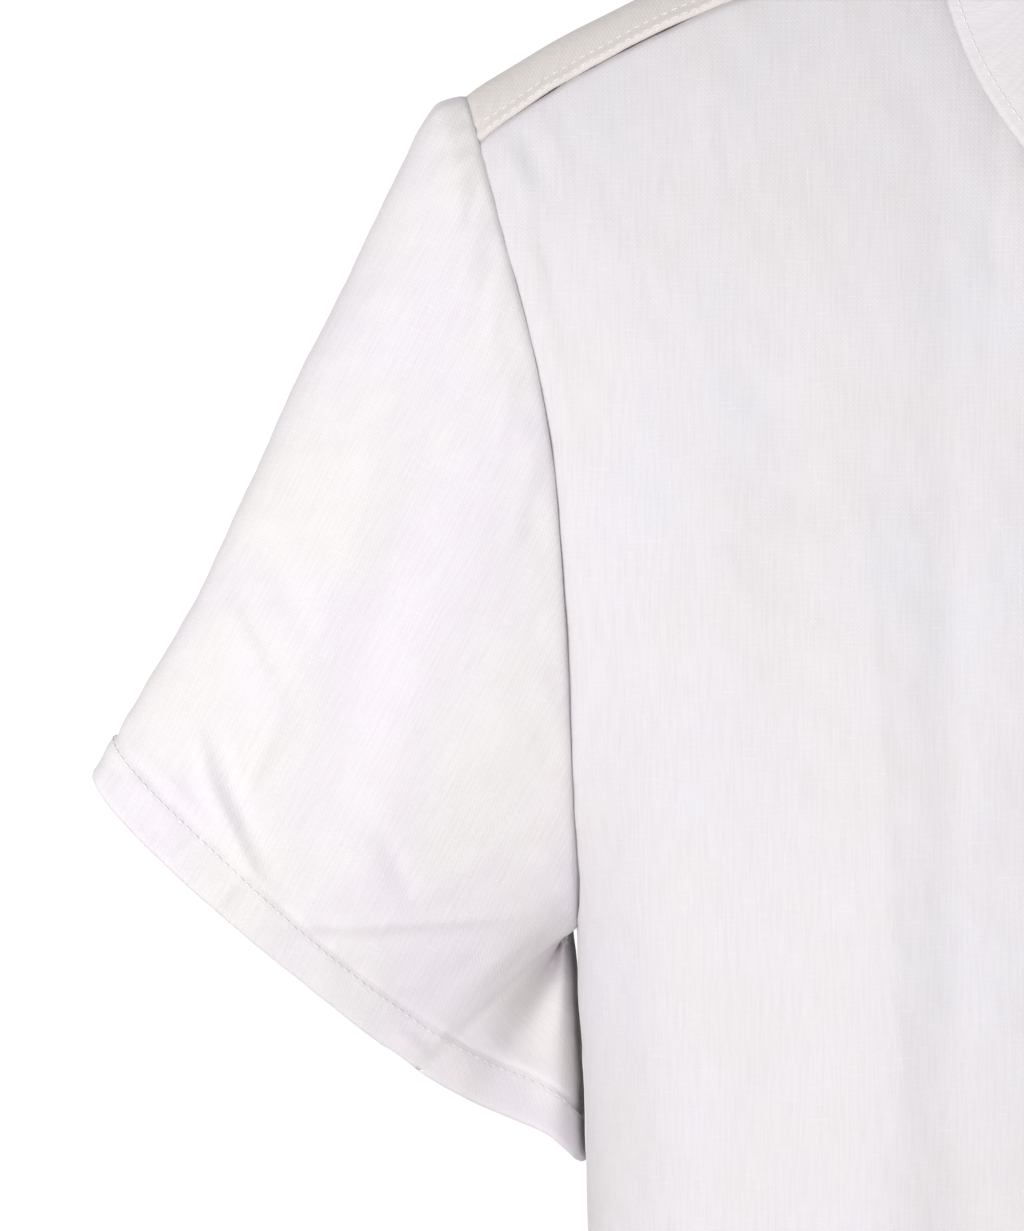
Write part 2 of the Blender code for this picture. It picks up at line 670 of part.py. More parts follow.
def button_drill():
    """The four holes as one cutter."""
    mesh = bmesh.new()
    for x in (-BUTTON_HOLE_PLACE, BUTTON_HOLE_PLACE):
        for y in (-BUTTON_HOLE_PLACE, BUTTON_HOLE_PLACE):
            made = bmesh.ops.create_cone(mesh, cap_ends=True, segments=6, radius1=BUTTON_HOLE,
                                         radius2=BUTTON_HOLE, depth=3.0 * BUTTON_THICK)
            bmesh.ops.translate(mesh, verts=made["verts"], vec=(x, y, 0.0))
    data = bpy.data.meshes.new("button_drill")
    mesh.to_mesh(data)
    mesh.free()
    item = bpy.data.objects.new("button_drill", data)
    item.hide_render = True
    item.display_type = "WIRE"
    cutters.objects.link(item)
    return item


def make_buttons():
    blank = bpy.data.objects.new("button_blank", button_mesh())
    shirt.objects.link(blank)
    cut = blank.modifiers.new("holes", "BOOLEAN")
    cut.operation = "DIFFERENCE"
    cut.object = button_drill()
    bpy.context.view_layer.update()
    finished = bpy.data.meshes.new_from_object(blank.evaluated_get(bpy.context.evaluated_depsgraph_get()))
    bpy.data.objects.remove(blank)
    finished.materials.append(make_material("button", BUTTON_COLOUR, BUTTON_ROUGH))
    places = []
    lift = CLOSING_LIFT + CLOTH + 2.0 * SEAM_GAP
    line = [centre_front(0.0, share) for share in body_rows()]
    for k in range(BUTTON_COUNT):
        height = BUTTON_FIRST - BUTTON_STEP * k
        low, high = next((low, high) for low, high in zip(line, line[1:]) if high.z >= height)
        normal = Vector((0.0, low.z - high.z, high.y - low.y)).normalized()
        place = low.lerp(high, (height - low.z) / (high.z - low.z))
        places.append((place + Vector((0.0, -lift, 0.0)), normal))
    normal = Vector((0.0, -1.0, COLLAR_LEAN / COLLAR_STAND)).normalized()
    base = stand_point(0.999, 0.5)
    places.append((Vector((0.0, base.y - SEAM_GAP, base.z)), normal))
    for k, (place, normal) in enumerate(places):
        item = bpy.data.objects.new(f"button_{k + 1}", finished)
        item.location = place
        item.rotation_euler = normal.to_track_quat("Z", "Y").to_euler()
        shirt.objects.link(item)


def main():
    make_fronts()
    make_back()
    make_yoke()
    make_sleeves()
    make_collar()
    make_placket()
    make_buttons()


for old in list(bpy.data.objects):
    bpy.data.objects.remove(old)
shirt = bpy.data.collections.new("short_sleeve_shirt")
bpy.context.scene.collection.children.link(shirt)
cutters = bpy.data.collections.new("cutters")
bpy.context.scene.collection.children.link(cutters)
main()
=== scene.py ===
import math
from collections import namedtuple

import bmesh
import bpy
import numpy as np
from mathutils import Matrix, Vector


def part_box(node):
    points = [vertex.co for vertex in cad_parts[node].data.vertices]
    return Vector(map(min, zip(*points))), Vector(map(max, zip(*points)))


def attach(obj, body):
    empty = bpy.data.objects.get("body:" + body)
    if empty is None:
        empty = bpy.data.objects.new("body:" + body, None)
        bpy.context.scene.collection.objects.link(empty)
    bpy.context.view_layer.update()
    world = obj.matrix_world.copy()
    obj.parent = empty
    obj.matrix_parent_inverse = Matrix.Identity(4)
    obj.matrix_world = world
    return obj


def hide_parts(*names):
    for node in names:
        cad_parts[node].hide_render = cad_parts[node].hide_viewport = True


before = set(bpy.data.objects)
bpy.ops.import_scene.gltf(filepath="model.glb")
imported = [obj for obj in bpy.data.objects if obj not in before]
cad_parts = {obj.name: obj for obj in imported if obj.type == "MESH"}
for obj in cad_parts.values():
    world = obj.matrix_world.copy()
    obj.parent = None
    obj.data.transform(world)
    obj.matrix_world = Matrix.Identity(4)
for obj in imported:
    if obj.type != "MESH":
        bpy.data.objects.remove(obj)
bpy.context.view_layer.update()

rng = np.random.default_rng(4162)

# Short-sleeve linen shirt, filled out and hollow. In metres: the front faces -Y, and the sleeve in the
# picture is at -X.

# What the picture shows of the shirt: its height and middle in metres, how deep the cloth lies, and how far
# off the camera stands
picture = {"height": 0.35683, "middleX": -0.21246, "middleZ": -0.21301, "depth": -0.04, "distance": 12.0}

cloth = {
    "thickness": 0.0012,
    "standThickness": 0.0018,
    "seamGap": 0.0003,
    "hemTurn": 0.0125,
    "bodyHem": 0.016,
    "hemProud": 0.0005,
    "hemLayer": 0.0014,
    "hemTurns": 4,
    "allowance": 0.006,
    "allowanceDrop": 0.0026,
}

body = {
    "hemHeight": -0.715,
    "armpitHeight": -0.3027,
    "armpitShare": 0.62,
    "sideDepth": -0.008,
    "fullness": 0.82,
    "turnTop": math.radians(52.0),
    "turnRise": 0.71,
    "foldStart": 0.03,
    "foldFade": 0.06,
    "foldSideFade": 0.17,
    "closingLift": 0.0018,
    "placketHalf": 0.016,
    "placketFlat": 0.003,
    "placketEase": 0.020,
    "placketInset": 0.001,
}
bodyHemShare = body["armpitShare"] * cloth["bodyHem"] / (body["armpitHeight"] - body["hemHeight"])

shoulder = {
    "out": 0.2258,
    "depth": 0.008,
    "drop": 0.062,
    "innerOut": 0.078,
    "innerDepth": 0.004,
    "evenDrop": 0.6,
}

armholeRing = {
    "front": 0.044,
    "back": 0.056,
    "backOut": 0.003,
    "yokeFront": math.radians(27.0),
    "yokeBack": math.radians(50.0),
}

yoke = {
    "frontDrop": 0.011,
    "frontDropOut": 0.0045,
    "frontDepth": -0.024,
    "backHeight": -0.095,
    "ridgeShare": 0.3,
    "neckRidgeShare": 0.15,
    "neckStart": 0.62,
    "ridgeBlend": 0.2,
    "backRidgeOut": 0.014,
    "backRidgeDrop": 0.006,
    "edgeShare": 0.12,
}

neck = {
    "half": 0.0655,
    "front": Vector((0.0, -0.063, -0.072)),
    "corner": Vector((0.0655, -0.024, -0.011)),
    "back": Vector((0.0, 0.052, 0.006)),
    "share": 0.3125,
    "split": 0.38,
}

sleeve = {
    "outer": Vector((0.3333, -0.025, -0.2578)),
    "inner": Vector((0.1905, 0.026, -0.3716)),
    "front": Vector((0.0060, -0.034, -0.0078)),
    "underLift": 0.0065,
    "underAngle": math.radians(30.0),
    "underWidth": math.radians(24.0),
    "twist": math.radians(66.0),
    "frontBulge": 0.006,
    "backBulge": 0.010,
    "swell": 0.6,
    "fill": 0.030,
    "fillAngle": 0.72,
    "fillWidth": 0.33,
    "fillStart": 0.33,
    "fillEase": 0.35,
}

collar = {
    "stand": 0.029,
    "lean": 0.004,
    "foot": 0.0011,
    "out": 0.0012,
    "extra": 0.034,
    "overStart": 0.93,
    "overLength": 0.05,
    "footFront": 0.08,
    "footFade": 0.06,
    "fold": 0.0045,
    "foldShare": 0.25,
    "leafStart": 0.006,
    "loopStep": 0.004,
    "clear": 0.0011,
    "pointShift": 0.034,
    "pointShare": 0.2,
    "leafCurve": 0.8,
}

button = {
    "radius": 0.0056,
    "thick": 0.0024,
    "hole": 0.0008,
    "holePlace": 0.0014,
    "count": 6,
}

Section = namedtuple("Section", "height halfWidth front back")
bodySections = [
    Section(-0.715, 0.1985, 0.122, 0.116),
    Section(-0.560, 0.1915, 0.121, 0.107),
    Section(-0.450, 0.1885, 0.121, 0.104),
    Section(-0.370, 0.1904, 0.124, 0.113),
    Section(-0.3027, 0.1933, 0.126, 0.122),
    Section(-0.220, 0.1966, 0.120, 0.125),
    Section(-0.140, 0.2058, 0.099, 0.115),
    Section(-0.095, 0.2170, 0.078, 0.098),
    Section(-0.072, 0.2230, 0.063, 0.086),
]

ArmholePlace = namedtuple("ArmholePlace", "height out")
armholeLine = [
    ArmholePlace(-0.3027, 0.1933),
    ArmholePlace(-0.2433, 0.1957),
    ArmholePlace(-0.1766, 0.1997),
    ArmholePlace(-0.1390, 0.2058),
    ArmholePlace(-0.0955, 0.2168),
    ArmholePlace(-0.0620, 0.2258),
]

SleeveFold = namedtuple("SleeveFold", "share out")
sleeveTop = [
    SleeveFold(0.00, 0.0000),
    SleeveFold(0.03, 0.0062),
    SleeveFold(0.12, 0.0070),
    SleeveFold(0.30, 0.0046),
    SleeveFold(0.45, 0.0026),
    SleeveFold(0.60, 0.0006),
    SleeveFold(0.72, -0.0010),
    SleeveFold(0.82, -0.0012),
    SleeveFold(0.93, -0.0004),
    SleeveFold(1.00, 0.0000),
]

BodyFold = namedtuple("BodyFold", "acrossTop acrossHem high low width rise")
frontFolds = [
    BodyFold(0.168, 0.160, -0.10, -0.60, 0.016, 0.0022),
    BodyFold(0.145, 0.132, -0.16, -0.90, 0.015, -0.0022),
    BodyFold(0.104, 0.112, -0.14, -0.90, 0.018, 0.0026),
    BodyFold(0.082, 0.086, -0.26, -0.90, 0.014, -0.0018),
    BodyFold(0.050, 0.060, -0.36, -0.90, 0.016, 0.0020),
]
backFolds = [
    BodyFold(0.150, 0.140, -0.16, -0.90, 0.020, 0.0030),
    BodyFold(0.110, 0.100, -0.22, -0.90, 0.018, -0.0030),
    BodyFold(0.066, 0.058, -0.16, -0.90, 0.020, 0.0028),
    BodyFold(0.024, 0.020, -0.30, -0.90, 0.018, -0.0024),
]

LeafPlace = namedtuple("LeafPlace", "share drop flare")
collarLeaf = [
    LeafPlace(0.00, 0.056, 0.0240),
    LeafPlace(0.06, 0.055, 0.0260),
    LeafPlace(0.12, 0.046, 0.0270),
    LeafPlace(0.17, 0.035, 0.0265),
    LeafPlace(0.22, 0.0275, 0.0255),
    LeafPlace(0.32, 0.0275, 0.0205),
    LeafPlace(0.42, 0.029, 0.017),
    LeafPlace(0.50, 0.029, 0.016),
]

# Creases seen from the front or the back: points in millimetres across and up, the softness on the left and
# on the right of the line as it runs, and the rise. A positive rise stands out, a negative one sinks in.
sleeveFrontCreases = [
    # long soft ridges from the shoulder to the hem
    ([(-236, -104), (-252, -150), (-261, -191), (-276, -230), (-288, -262)], 9, 13, 1.5),
    ([(-210, -168), (-222, -196), (-236, -220), (-248, -262), (-259, -300)], 9, 12, 1.3),
    ([(-226, -128), (-240, -182), (-256, -232), (-270, -282)], 8, 8, -0.9),
    ([(-247, -118), (-266, -160), (-281, -196), (-298, -232)], 8, 9, -0.8),
    # short creases near the outer fold
    ([(-297, -206), (-288, -222), (-280, -238)], 2.5, 4, 0.9),
    ([(-286, -186), (-277, -204), (-270, -222)], 3, 5, -0.6),
    # ridges that run into the hem's stitching
    ([(-320, -253), (-309, -264), (-300, -274)], 1.2, 1.8, 0.8),
    ([(-304, -245), (-300, -262), (-295, -272), (-290, -283), (-285, -292)], 2.0, 2.6, 1.5),
    ([(-298, -246), (-294, -262), (-289, -273), (-284, -284)], 2.2, 2.6, -0.9),
    ([(-279, -241), (-284, -252), (-289, -264)], 2.4, 3.0, 0.8),
    ([(-311, -283), (-306, -279), (-301, -276)], 1.0, 1.3, -0.6),
    ([(-299, -297), (-293, -291), (-288, -287)], 2.2, 2.6, 0.7),
    # the crease that was pressed across the sleeve at the armpit
    ([(-290, -302), (-270, -303), (-245, -302.5), (-222, -301.5), (-206, -300)], 2.2, 0.9, 0.75),
    ([(-288, -306), (-268, -306.5), (-245, -306), (-222, -305), (-208, -303.5)], 1.6, 3.4, -0.55),
    # dent and trough under the arm
    ([(-251, -274), (-246, -285), (-241, -296)], 3.2, 3.6, -0.7),
    ([(-199, -301), (-210, -313), (-219, -327), (-235, -341)], 2.6, 3.2, -0.3),
    ([(-207, -301), (-221, -316), (-232, -330)], 3.4, 3.0, 0.3),
    ([(-246, -335), (-240, -339), (-236, -341)], 2.4, 2.0, 1.3),
    ([(-228, -330), (-218, -338), (-207, -345)], 3.0, 3.0, 0.6),
    # puckers along the armhole seam
    ([(-223, -84), (-227, -90), (-230, -98)], 1.6, 2.0, 1.0),
    ([(-221, -88), (-224, -95), (-226, -103)], 1.3, 1.4, -0.7),
    ([(-219, -97), (-224, -107), (-228, -118)], 1.5, 2.0, 0.9),
    ([(-216, -103), (-220, -114), (-223, -124)], 1.3, 1.5, -0.7),
    ([(-213, -113), (-217, -125), (-220, -138)], 1.6, 2.2, 0.8),
    ([(-208, -134), (-213, -148), (-217, -166)], 1.8, 2.6, 0.6),
    ([(-203, -160), (-208, -176), (-213, -196)], 2.2, 3.0, 0.5),
    ([(-228, -70), (-233, -76), (-238, -86)], 1.6, 2.2, -0.5),
]
frontCreases = [
    # long soft folds of the body
    ([(-187, -95), (-176, -140), (-172, -220), (-170, -330)], 10, 12, 1.1),
    ([(-160, -92), (-154, -150), (-150, -240), (-148, -350)], 9, 11, 1.2),
    ([(-155, -54), (-155, -74), (-154, -98)], 2.0, 2.6, 0.6),
    ([(-112, -170), (-107, -230), (-103, -300), (-98, -372)], 2.2, 4.0, 0.7),
    ([(-92, -60), (-87, -120), (-86, -220), (-86, -380)], 6, 8, -1.3),
    ([(-190, -240), (-184, -290), (-180, -350), (-176, -420)], 6, 7, -0.8),
    ([(-134, -76), (-132, -160), (-128, -260), (-124, -380)], 8, 9, -1.0),
    # pressed creases low on the body
    ([(-176, -318), (-158, -322), (-140, -319)], 2.6, 2.2, 0.35),
    ([(-188, -352), (-170, -358), (-152, -356)], 2.4, 2.6, -0.35),
    ([(-170, -460), (-140, -470), (-104, -466)], 3.5, 3.0, 0.5),
    ([(-150, -560), (-116, -572), (-82, -566)], 3.5, 3.5, -0.5),
    # puckers along the armhole seam
    ([(-213, -77), (-210, -84), (-207, -94)], 1.5, 2.0, 1.0),
    ([(-210, -72), (-206, -80), (-203, -90)], 1.4, 1.6, -0.8),
    ([(-205, -66), (-200, -76), (-196, -90)], 1.8, 2.4, 0.8),
    ([(-209, -92), (-206, -104), (-204, -118)], 1.5, 2.0, 0.9),
    ([(-205, -100), (-201, -112), (-199, -126)], 1.6, 1.8, -0.7),
    ([(-204, -118), (-201, -132), (-199, -148)], 1.6, 2.2, 0.7),
    ([(-198, -142), (-195, -158), (-193, -180)], 2.2, 2.6, 0.5),
    ([(-192, -80), (-188, -92), (-186, -106)], 2.6, 3.2, 0.6),
]
backCreases = [
    ([(-160, -110), (-150, -170), (-140, -240)], 8, 10, 1.2),
    ([(-120, -108), (-116, -180), (-112, -300)], 7, 9, -1.0),
    ([(-70, -104), (-74, -190), (-78, -330)], 9, 10, 1.2),
    ([(-26, -110), (-30, -220), (-34, -380)], 8, 9, -1.0),
    ([(24, -108), (30, -200), (32, -360)], 8, 11, 1.0),
    ([(82, -106), (88, -190), (90, -300)], 7, 9, -1.1),
    ([(132, -110), (136, -190), (140, -260)], 8, 9, 1.1),
    ([(-190, -200), (-176, -222), (-160, -250), (-140, -286)], 3.0, 4.0, 1.0),
    ([(-186, -226), (-170, -250), (-152, -284)], 3.0, 3.4, -0.8),
    ([(188, -208), (172, -236), (150, -270)], 3.2, 4.0, 0.9),
    ([(-120, -470), (-60, -486), (10, -476)], 4.0, 4.0, 0.6),
    ([(30, -560), (90, -548), (140, -556)], 4.0, 4.5, -0.6),
    ([(-150, -620), (-100, -610), (-60, -622)], 4.0, 4.0, 0.5),
]
sleeveBackCreases = [
    ([(-232, -112), (-250, -168), (-270, -226), (-284, -264)], 9, 11, 1.4),
    ([(-214, -150), (-228, -206), (-244, -268), (-252, -304)], 8, 10, -1.1),
    ([(-204, -176), (-212, -222), (-222, -280)], 6, 8, 1.2),
    ([(-300, -240), (-294, -256), (-287, -272)], 2.4, 3.0, 0.9),
    ([(-276, -268), (-268, -284), (-262, -296)], 2.6, 3.0, -0.8),
    ([(-244, -296), (-238, -312), (-233, -326)], 2.6, 3.2, 0.9),
    ([(-276, -303), (-250, -305), (-222, -304)], 2.0, 2.6, 0.5),
    ([(-224, -96), (-230, -108), (-234, -122)], 1.6, 2.2, 0.8),
    ([(-216, -118), (-222, -134), (-225, -150)], 1.8, 2.4, 0.7),
]


def mix(start, end, share):
    return start + (end - start) * share


def smooth(share):
    share = min(max(share, 0.0), 1.0)
    return share * share * (3.0 - 2.0 * share)


# Smooth curve through one column of a table whose first column rises
def read(table, place, column):
    places = [row[0] for row in table]
    values = [getattr(row, column) for row in table]
    last = len(places) - 1
    if place <= places[0]:
        return values[0]
    if place >= places[last]:
        return values[last]
    k = max(i for i in range(last) if places[i] <= place)

    def slope(i):
        low = max(i - 1, 0)
        high = min(i + 1, last)
        return (values[high] - values[low]) / (places[high] - places[low])

    width = places[k + 1] - places[k]
    t = (place - places[k]) / width
    start = (2 * t ** 3 - 3 * t ** 2 + 1) * values[k] + (t ** 3 - 2 * t ** 2 + t) * width * slope(k)
    end = (3 * t ** 2 - 2 * t ** 3) * values[k + 1] + (t ** 3 - t ** 2) * width * slope(k + 1)
    return start + end


def foldsAt(table, across, height):
    total = 0.0
    for fold in table:
        share = (fold.high - height) / (fold.high - fold.low)
        if share > 0.0:
            middle = mix(fold.acrossTop, fold.acrossHem, share)
            total += fold.rise * smooth(share * 4.0) * math.exp(-((across - middle) / fold.width) ** 2)
    return total


# Ring of the armhole: 0 at the shoulder, a half turn at the armpit, the front side first
def armhole(angle):
    share = (1.0 - math.cos(angle)) / 2.0
    height = mix(-shoulder["drop"], body["armpitHeight"], share)
    side = math.sin(angle)
    reach = armholeRing["front"] if side > 0.0 else armholeRing["back"]
    out = read(armholeLine, height, "out") + armholeRing["backOut"] * max(0.0, -side)
    return Vector((out, mix(shoulder["depth"], body["sideDepth"], share) - reach * side, height))


def shoulderLine(share):
    out = mix(neck["half"], shoulder["out"], share)
    drop = shoulder["drop"] * mix(share ** 3, share, shoulder["evenDrop"])
    return Vector((out, mix(shoulder["innerDepth"], shoulder["depth"], share), -drop))


def neckFront(share):
    angle = share * math.pi / 2.0
    rise = 1.0 - math.cos(angle)
    return Vector((neck["corner"].x * math.sin(angle), mix(neck["front"].y, neck["corner"].y, rise),
                   mix(neck["front"].z, neck["corner"].z, rise)))


def neckBack(share):
    angle = share * math.pi / 2.0
    turn = math.sin(angle)
    return Vector((neck["half"] * math.cos(angle), mix(neck["corner"].y, neck["back"].y, turn),
                   mix(neck["corner"].z, neck["back"].z, 1.0 - (1.0 - turn) ** 2)))


# Seam between yoke and front, from the neck (0) to the armhole (1)
def yokeFrontSeam(share):
    end = armhole(armholeRing["yokeFront"])
    out = mix(neck["half"], end.x, share)
    line = shoulderLine((out - neck["half"]) / (shoulder["out"] - neck["half"]))
    drop = yoke["frontDrop"] + yoke["frontDropOut"] * share ** 5
    point = Vector((out, mix(yoke["frontDepth"], end.y, share), line.z - drop))
    return point + (end - point) * share ** 6


# Seam between yoke and back, from the middle (0) to the armhole (1)
def yokeBackSeam(across):
    end = armhole(2.0 * math.pi - armholeRing["yokeBack"])
    middle = read(bodySections, yoke["backHeight"], "back")
    angle = across * body["turnTop"]
    share = (math.sin(angle) / math.sin(body["turnTop"])) ** body["fullness"]
    turn = (1.0 - math.cos(angle)) / (1.0 - math.cos(body["turnTop"]))
    return Vector((end.x * share, mix(middle, end.y, turn), mix(yoke["backHeight"], end.z, across ** 2)))


def bodyArc(across, turnEnd, centre, edge):
    angle = across * turnEnd
    share = (math.sin(angle) / math.sin(turnEnd)) ** body["fullness"]
    fall = 1.0 - max(0.0, math.cos(angle)) ** body["fullness"]
    turn = fall / (1.0 - max(0.0, math.cos(turnEnd)) ** body["fullness"])
    return Vector((mix(centre.x, edge.x, share), mix(centre.y, edge.y, turn),
                   mix(centre.z, edge.z, across ** 1.5)))


def bodyTop(across, back):
    if back:
        return yokeBackSeam(across)
    if across < neck["share"]:
        return neckFront(across / neck["share"])
    return yokeFrontSeam((across - neck["share"]) / (1.0 - neck["share"]))


# Outer surface of one half of the body, hem (0) to neck and shoulder seams (1)
def bodyPanel(across, share, back):
    side = 1.0 if back else -1.0
    column = "back" if back else "front"
    if share <= body["armpitShare"]:
        height = mix(body["hemHeight"], body["armpitHeight"], share / body["armpitShare"])
        proud = cloth["hemProud"] * (1.0 - smooth((share - bodyHemShare * 0.98) / (bodyHemShare * 0.06)))
        centre = Vector((0.0, side * (read(bodySections, height, column) + proud), height))
        edge = Vector((read(bodySections, height, "halfWidth") + proud, body["sideDepth"], height))
        point = bodyArc(across, math.pi / 2.0, centre, edge)
    else:
        rise = (share - body["armpitShare"]) / (1.0 - body["armpitShare"])
        topHeight = yoke["backHeight"] if back else neck["front"].z
        height = mix(body["armpitHeight"], topHeight, rise)
        centre = Vector((0.0, side * read(bodySections, height, column), height))
        topAngle = armholeRing["yokeBack"] if back else armholeRing["yokeFront"]
        angle = mix(math.pi, topAngle, rise)
        edge = armhole(2.0 * math.pi - angle if back else angle)
        turnEnd = mix(math.pi / 2.0, body["turnTop"], smooth(rise / body["turnRise"]))
        point = bodyArc(across, turnEnd, centre, edge)
        topCentre = Vector((0.0, side * read(bodySections, topHeight, column), topHeight))
        topEdge = armhole(2.0 * math.pi - topAngle if back else topAngle)
        point += (bodyTop(across, back) - bodyArc(across, body["turnTop"], topCentre, topEdge)) * rise ** 2
    fade = smooth((1.0 - across) / body["foldSideFade"])
    fade *= smooth((neck["front"].z - body["foldStart"] - point.z) / body["foldFade"])
    point.y += side * fade * foldsAt(backFolds if back else frontFolds, point.x, point.z)
    return point


# Outer surface of the sleeve, from the armhole (0) to its hem's stitching (1) and its mouth (2)
def sleevePoint(angle, row):
    start = armhole(angle)
    turn = math.pi - angle + sleeve["twist"] * (1.0 - math.cos(angle)) / 2.0
    centre = (sleeve["outer"] + sleeve["inner"]) / 2.0
    reach = (sleeve["inner"] - sleeve["outer"]) / 2.0
    end = centre + reach * math.cos(turn) + sleeve["front"] * math.sin(turn)
    past = (turn - sleeve["underAngle"] + math.pi) % (2.0 * math.pi) - math.pi
    end.z += sleeve["underLift"] * math.exp(-(past / sleeve["underWidth"]) ** 2)
    hem = cloth["hemTurn"] / (end - start).length
    share = row * (1.0 - hem) if row <= 1.0 else 1.0 - hem * (2.0 - row)
    point = start.lerp(end, share)
    point += (end - centre).normalized() * cloth["hemProud"] * smooth((row - 0.99) / 0.06)
    top = max(0.0, math.cos(angle / 2.0) ** 2) ** 3
    line = Vector((sleeve["outer"].x - shoulder["out"], 0.0, sleeve["outer"].z + shoulder["drop"]))
    line.normalize()
    point += Vector((-line.z, 0.0, line.x)) * read(sleeveTop, share, "out") * top
    side = math.sin(angle)
    bulge = sleeve["frontBulge"] if side > 0.0 else sleeve["backBulge"]
    point.y -= bulge * side * math.sin(math.pi * min(1.0, share) ** sleeve["swell"])
    behind = (angle - sleeve["fillAngle"]) % (2.0 * math.pi) - math.pi
    fold = math.exp(-(behind / sleeve["fillWidth"]) ** 2) * smooth(share / sleeve["fillStart"])
    point.y -= sleeve["fill"] * fold * (1.0 - sleeve["fillEase"] * share)
    return point


# The whole neck seam, from the middle of the front round the wearer's right side and back
def neckLoop(share):
    half = share if share <= 0.5 else 1.0 - share
    side = -1.0 if share <= 0.5 else 1.0
    if half < 0.0:
        half = -half
        side = -side
    if half * 2.0 < neck["split"]:
        point = neckFront(half * 2.0 / neck["split"])
    else:
        point = neckBack((half * 2.0 - neck["split"]) / (1.0 - neck["split"]))
    return Vector((point.x * side, point.y, point.z))


def neckAlong(share):
    return (neckLoop(share + collar["loopStep"]) - neckLoop(share - collar["loopStep"])).normalized()


def neckOutward(share):
    along = neckAlong(share)
    return Vector((-along.y, along.x, 0.0)).normalized()


def standOver(share):
    over = smooth((share - collar["overStart"]) / collar["overLength"])
    return over * (cloth["standThickness"] + cloth["seamGap"])


def standPoint(share, rise):
    nearFront = 1.0 - smooth((min(share, 1.0 - share) - collar["footFront"]) / collar["footFade"])
    foot = collar["foot"] + (cloth["thickness"] + cloth["seamGap"]) * nearFront
    out = standOver(share) + collar["out"] - collar["lean"] * rise
    return neckLoop(share) + neckOutward(share) * out + Vector((0.0, 0.0, foot + collar["stand"] * rise))


# Outer face of the collar leaf, from inside the fold (0) over it and down to its edge (1)
def leafPoint(share, spread):
    half = share if share <= 0.5 else 1.0 - share
    out = neckOutward(share)
    top = standPoint(share, 1.0) - out * standOver(share)
    rise = Vector((0.0, 0.0, 1.0))
    clear = collar["clear"] * (1.0 + abs(neckAlong(share).z))
    if spread < collar["foldShare"]:
        angle = math.pi * spread / collar["foldShare"]
        across = mix(-cloth["standThickness"], collar["fold"], (1.0 - math.cos(angle)) / 2.0)
        return top + out * across + rise * (clear + collar["fold"] * collar["leafCurve"] * math.sin(angle))
    down = (spread - collar["foldShare"]) / (1.0 - collar["foldShare"])
    drop = read(collarLeaf, half, "drop")
    flare = read(collarLeaf, half, "flare")
    point = top + out * mix(collar["fold"], flare, down ** collar["leafCurve"])
    point += rise * mix(clear, -drop, down)
    shift = collar["pointShift"] * max(0.0, 1.0 - half / collar["pointShare"]) ** 2 * down
    point.x += -shift if share <= 0.5 else shift
    return point


# One half of the yoke: from the armhole (0) to the middle of the back (1), front seam to back seam
def yokeHalf(across, share):
    neckStart = yoke["neckStart"]
    innerShare = (shoulder["innerOut"] - neck["half"]) / (shoulder["out"] - neck["half"])
    if across < neckStart:
        q = 1.0 - across / neckStart
        top = yokeFrontSeam(q)
        ridge = shoulderLine(mix(innerShare, 1.0, q))
    else:
        q = (across - neckStart) / (1.0 - neckStart)
        top = neckBack(q)
        inner = shoulderLine(innerShare)
        angle = q * math.pi / 2.0
        ridge = Vector((inner.x * math.cos(angle),
                        mix(inner.y, neck["back"].y + yoke["backRidgeOut"], math.sin(angle)),
                        mix(inner.z, neck["back"].z - yoke["backRidgeDrop"], q)))
    bottom = yokeBackSeam(1.0 - across)
    c = mix(yoke["ridgeShare"], yoke["neckRidgeShare"], smooth((across - neckStart) / yoke["ridgeBlend"]))

    def through(a, m, b, s):
        first = a * ((s - c) * (s - 1.0) / c)
        last = b * (s * (s - c) / (1.0 - c))
        return first + m * (s * (s - 1.0) / (c * (c - 1.0))) + last
    point = through(top, ridge, bottom, share)
    edgeWeight = max(0.0, 1.0 - across / yoke["edgeShare"]) ** 2
    if edgeWeight > 0.0:
        turn = mix(armholeRing["yokeFront"], -armholeRing["yokeBack"], share)
        ring = armhole(turn if turn >= 0.0 else 2.0 * math.pi + turn)
        point += (ring - through(yokeFrontSeam(1.0), armhole(0.0), yokeBackSeam(1.0), share)) * edgeWeight
    return point


def steps(count, start=0.0, end=1.0):
    return [mix(start, end, i / count) for i in range(count + 1)]


def mirrored(point, side):
    return Vector((point.x * side, point.y, point.z))


# One front: it reaches past the middle by half a placket, the left one over the right one
def frontPlace(side):
    def point(across, share):
        found = bodyPanel(max(across, 0.0), share, False)
        if across < 0.0:
            found.x = -body["placketHalf"]
        if side > 0.0:
            past = (found.x - body["placketHalf"] - body["placketFlat"]) / body["placketEase"]
            found.y -= body["closingLift"] * (1.0 - smooth(past))
        return mirrored(found, side)
    return point


def backPlace(across, share):
    return mirrored(bodyPanel(abs(across), share, True), 1.0 if across > 0.0 else -1.0)


def yokePlace(across, share):
    return mirrored(yokeHalf(1.0 - abs(across), share), 1.0 if across > 0.0 else -1.0)


def sleevePlace(side):
    def point(angle, row):
        return mirrored(sleevePoint(angle, row), side)
    return point


def eased(share):
    share = np.clip(share, 0.0, 1.0)
    return share * share * (3.0 - 2.0 * share)


def unit(vectors):
    return vectors / np.maximum(np.linalg.norm(vectors, axis=-1, keepdims=True), 1e-12)


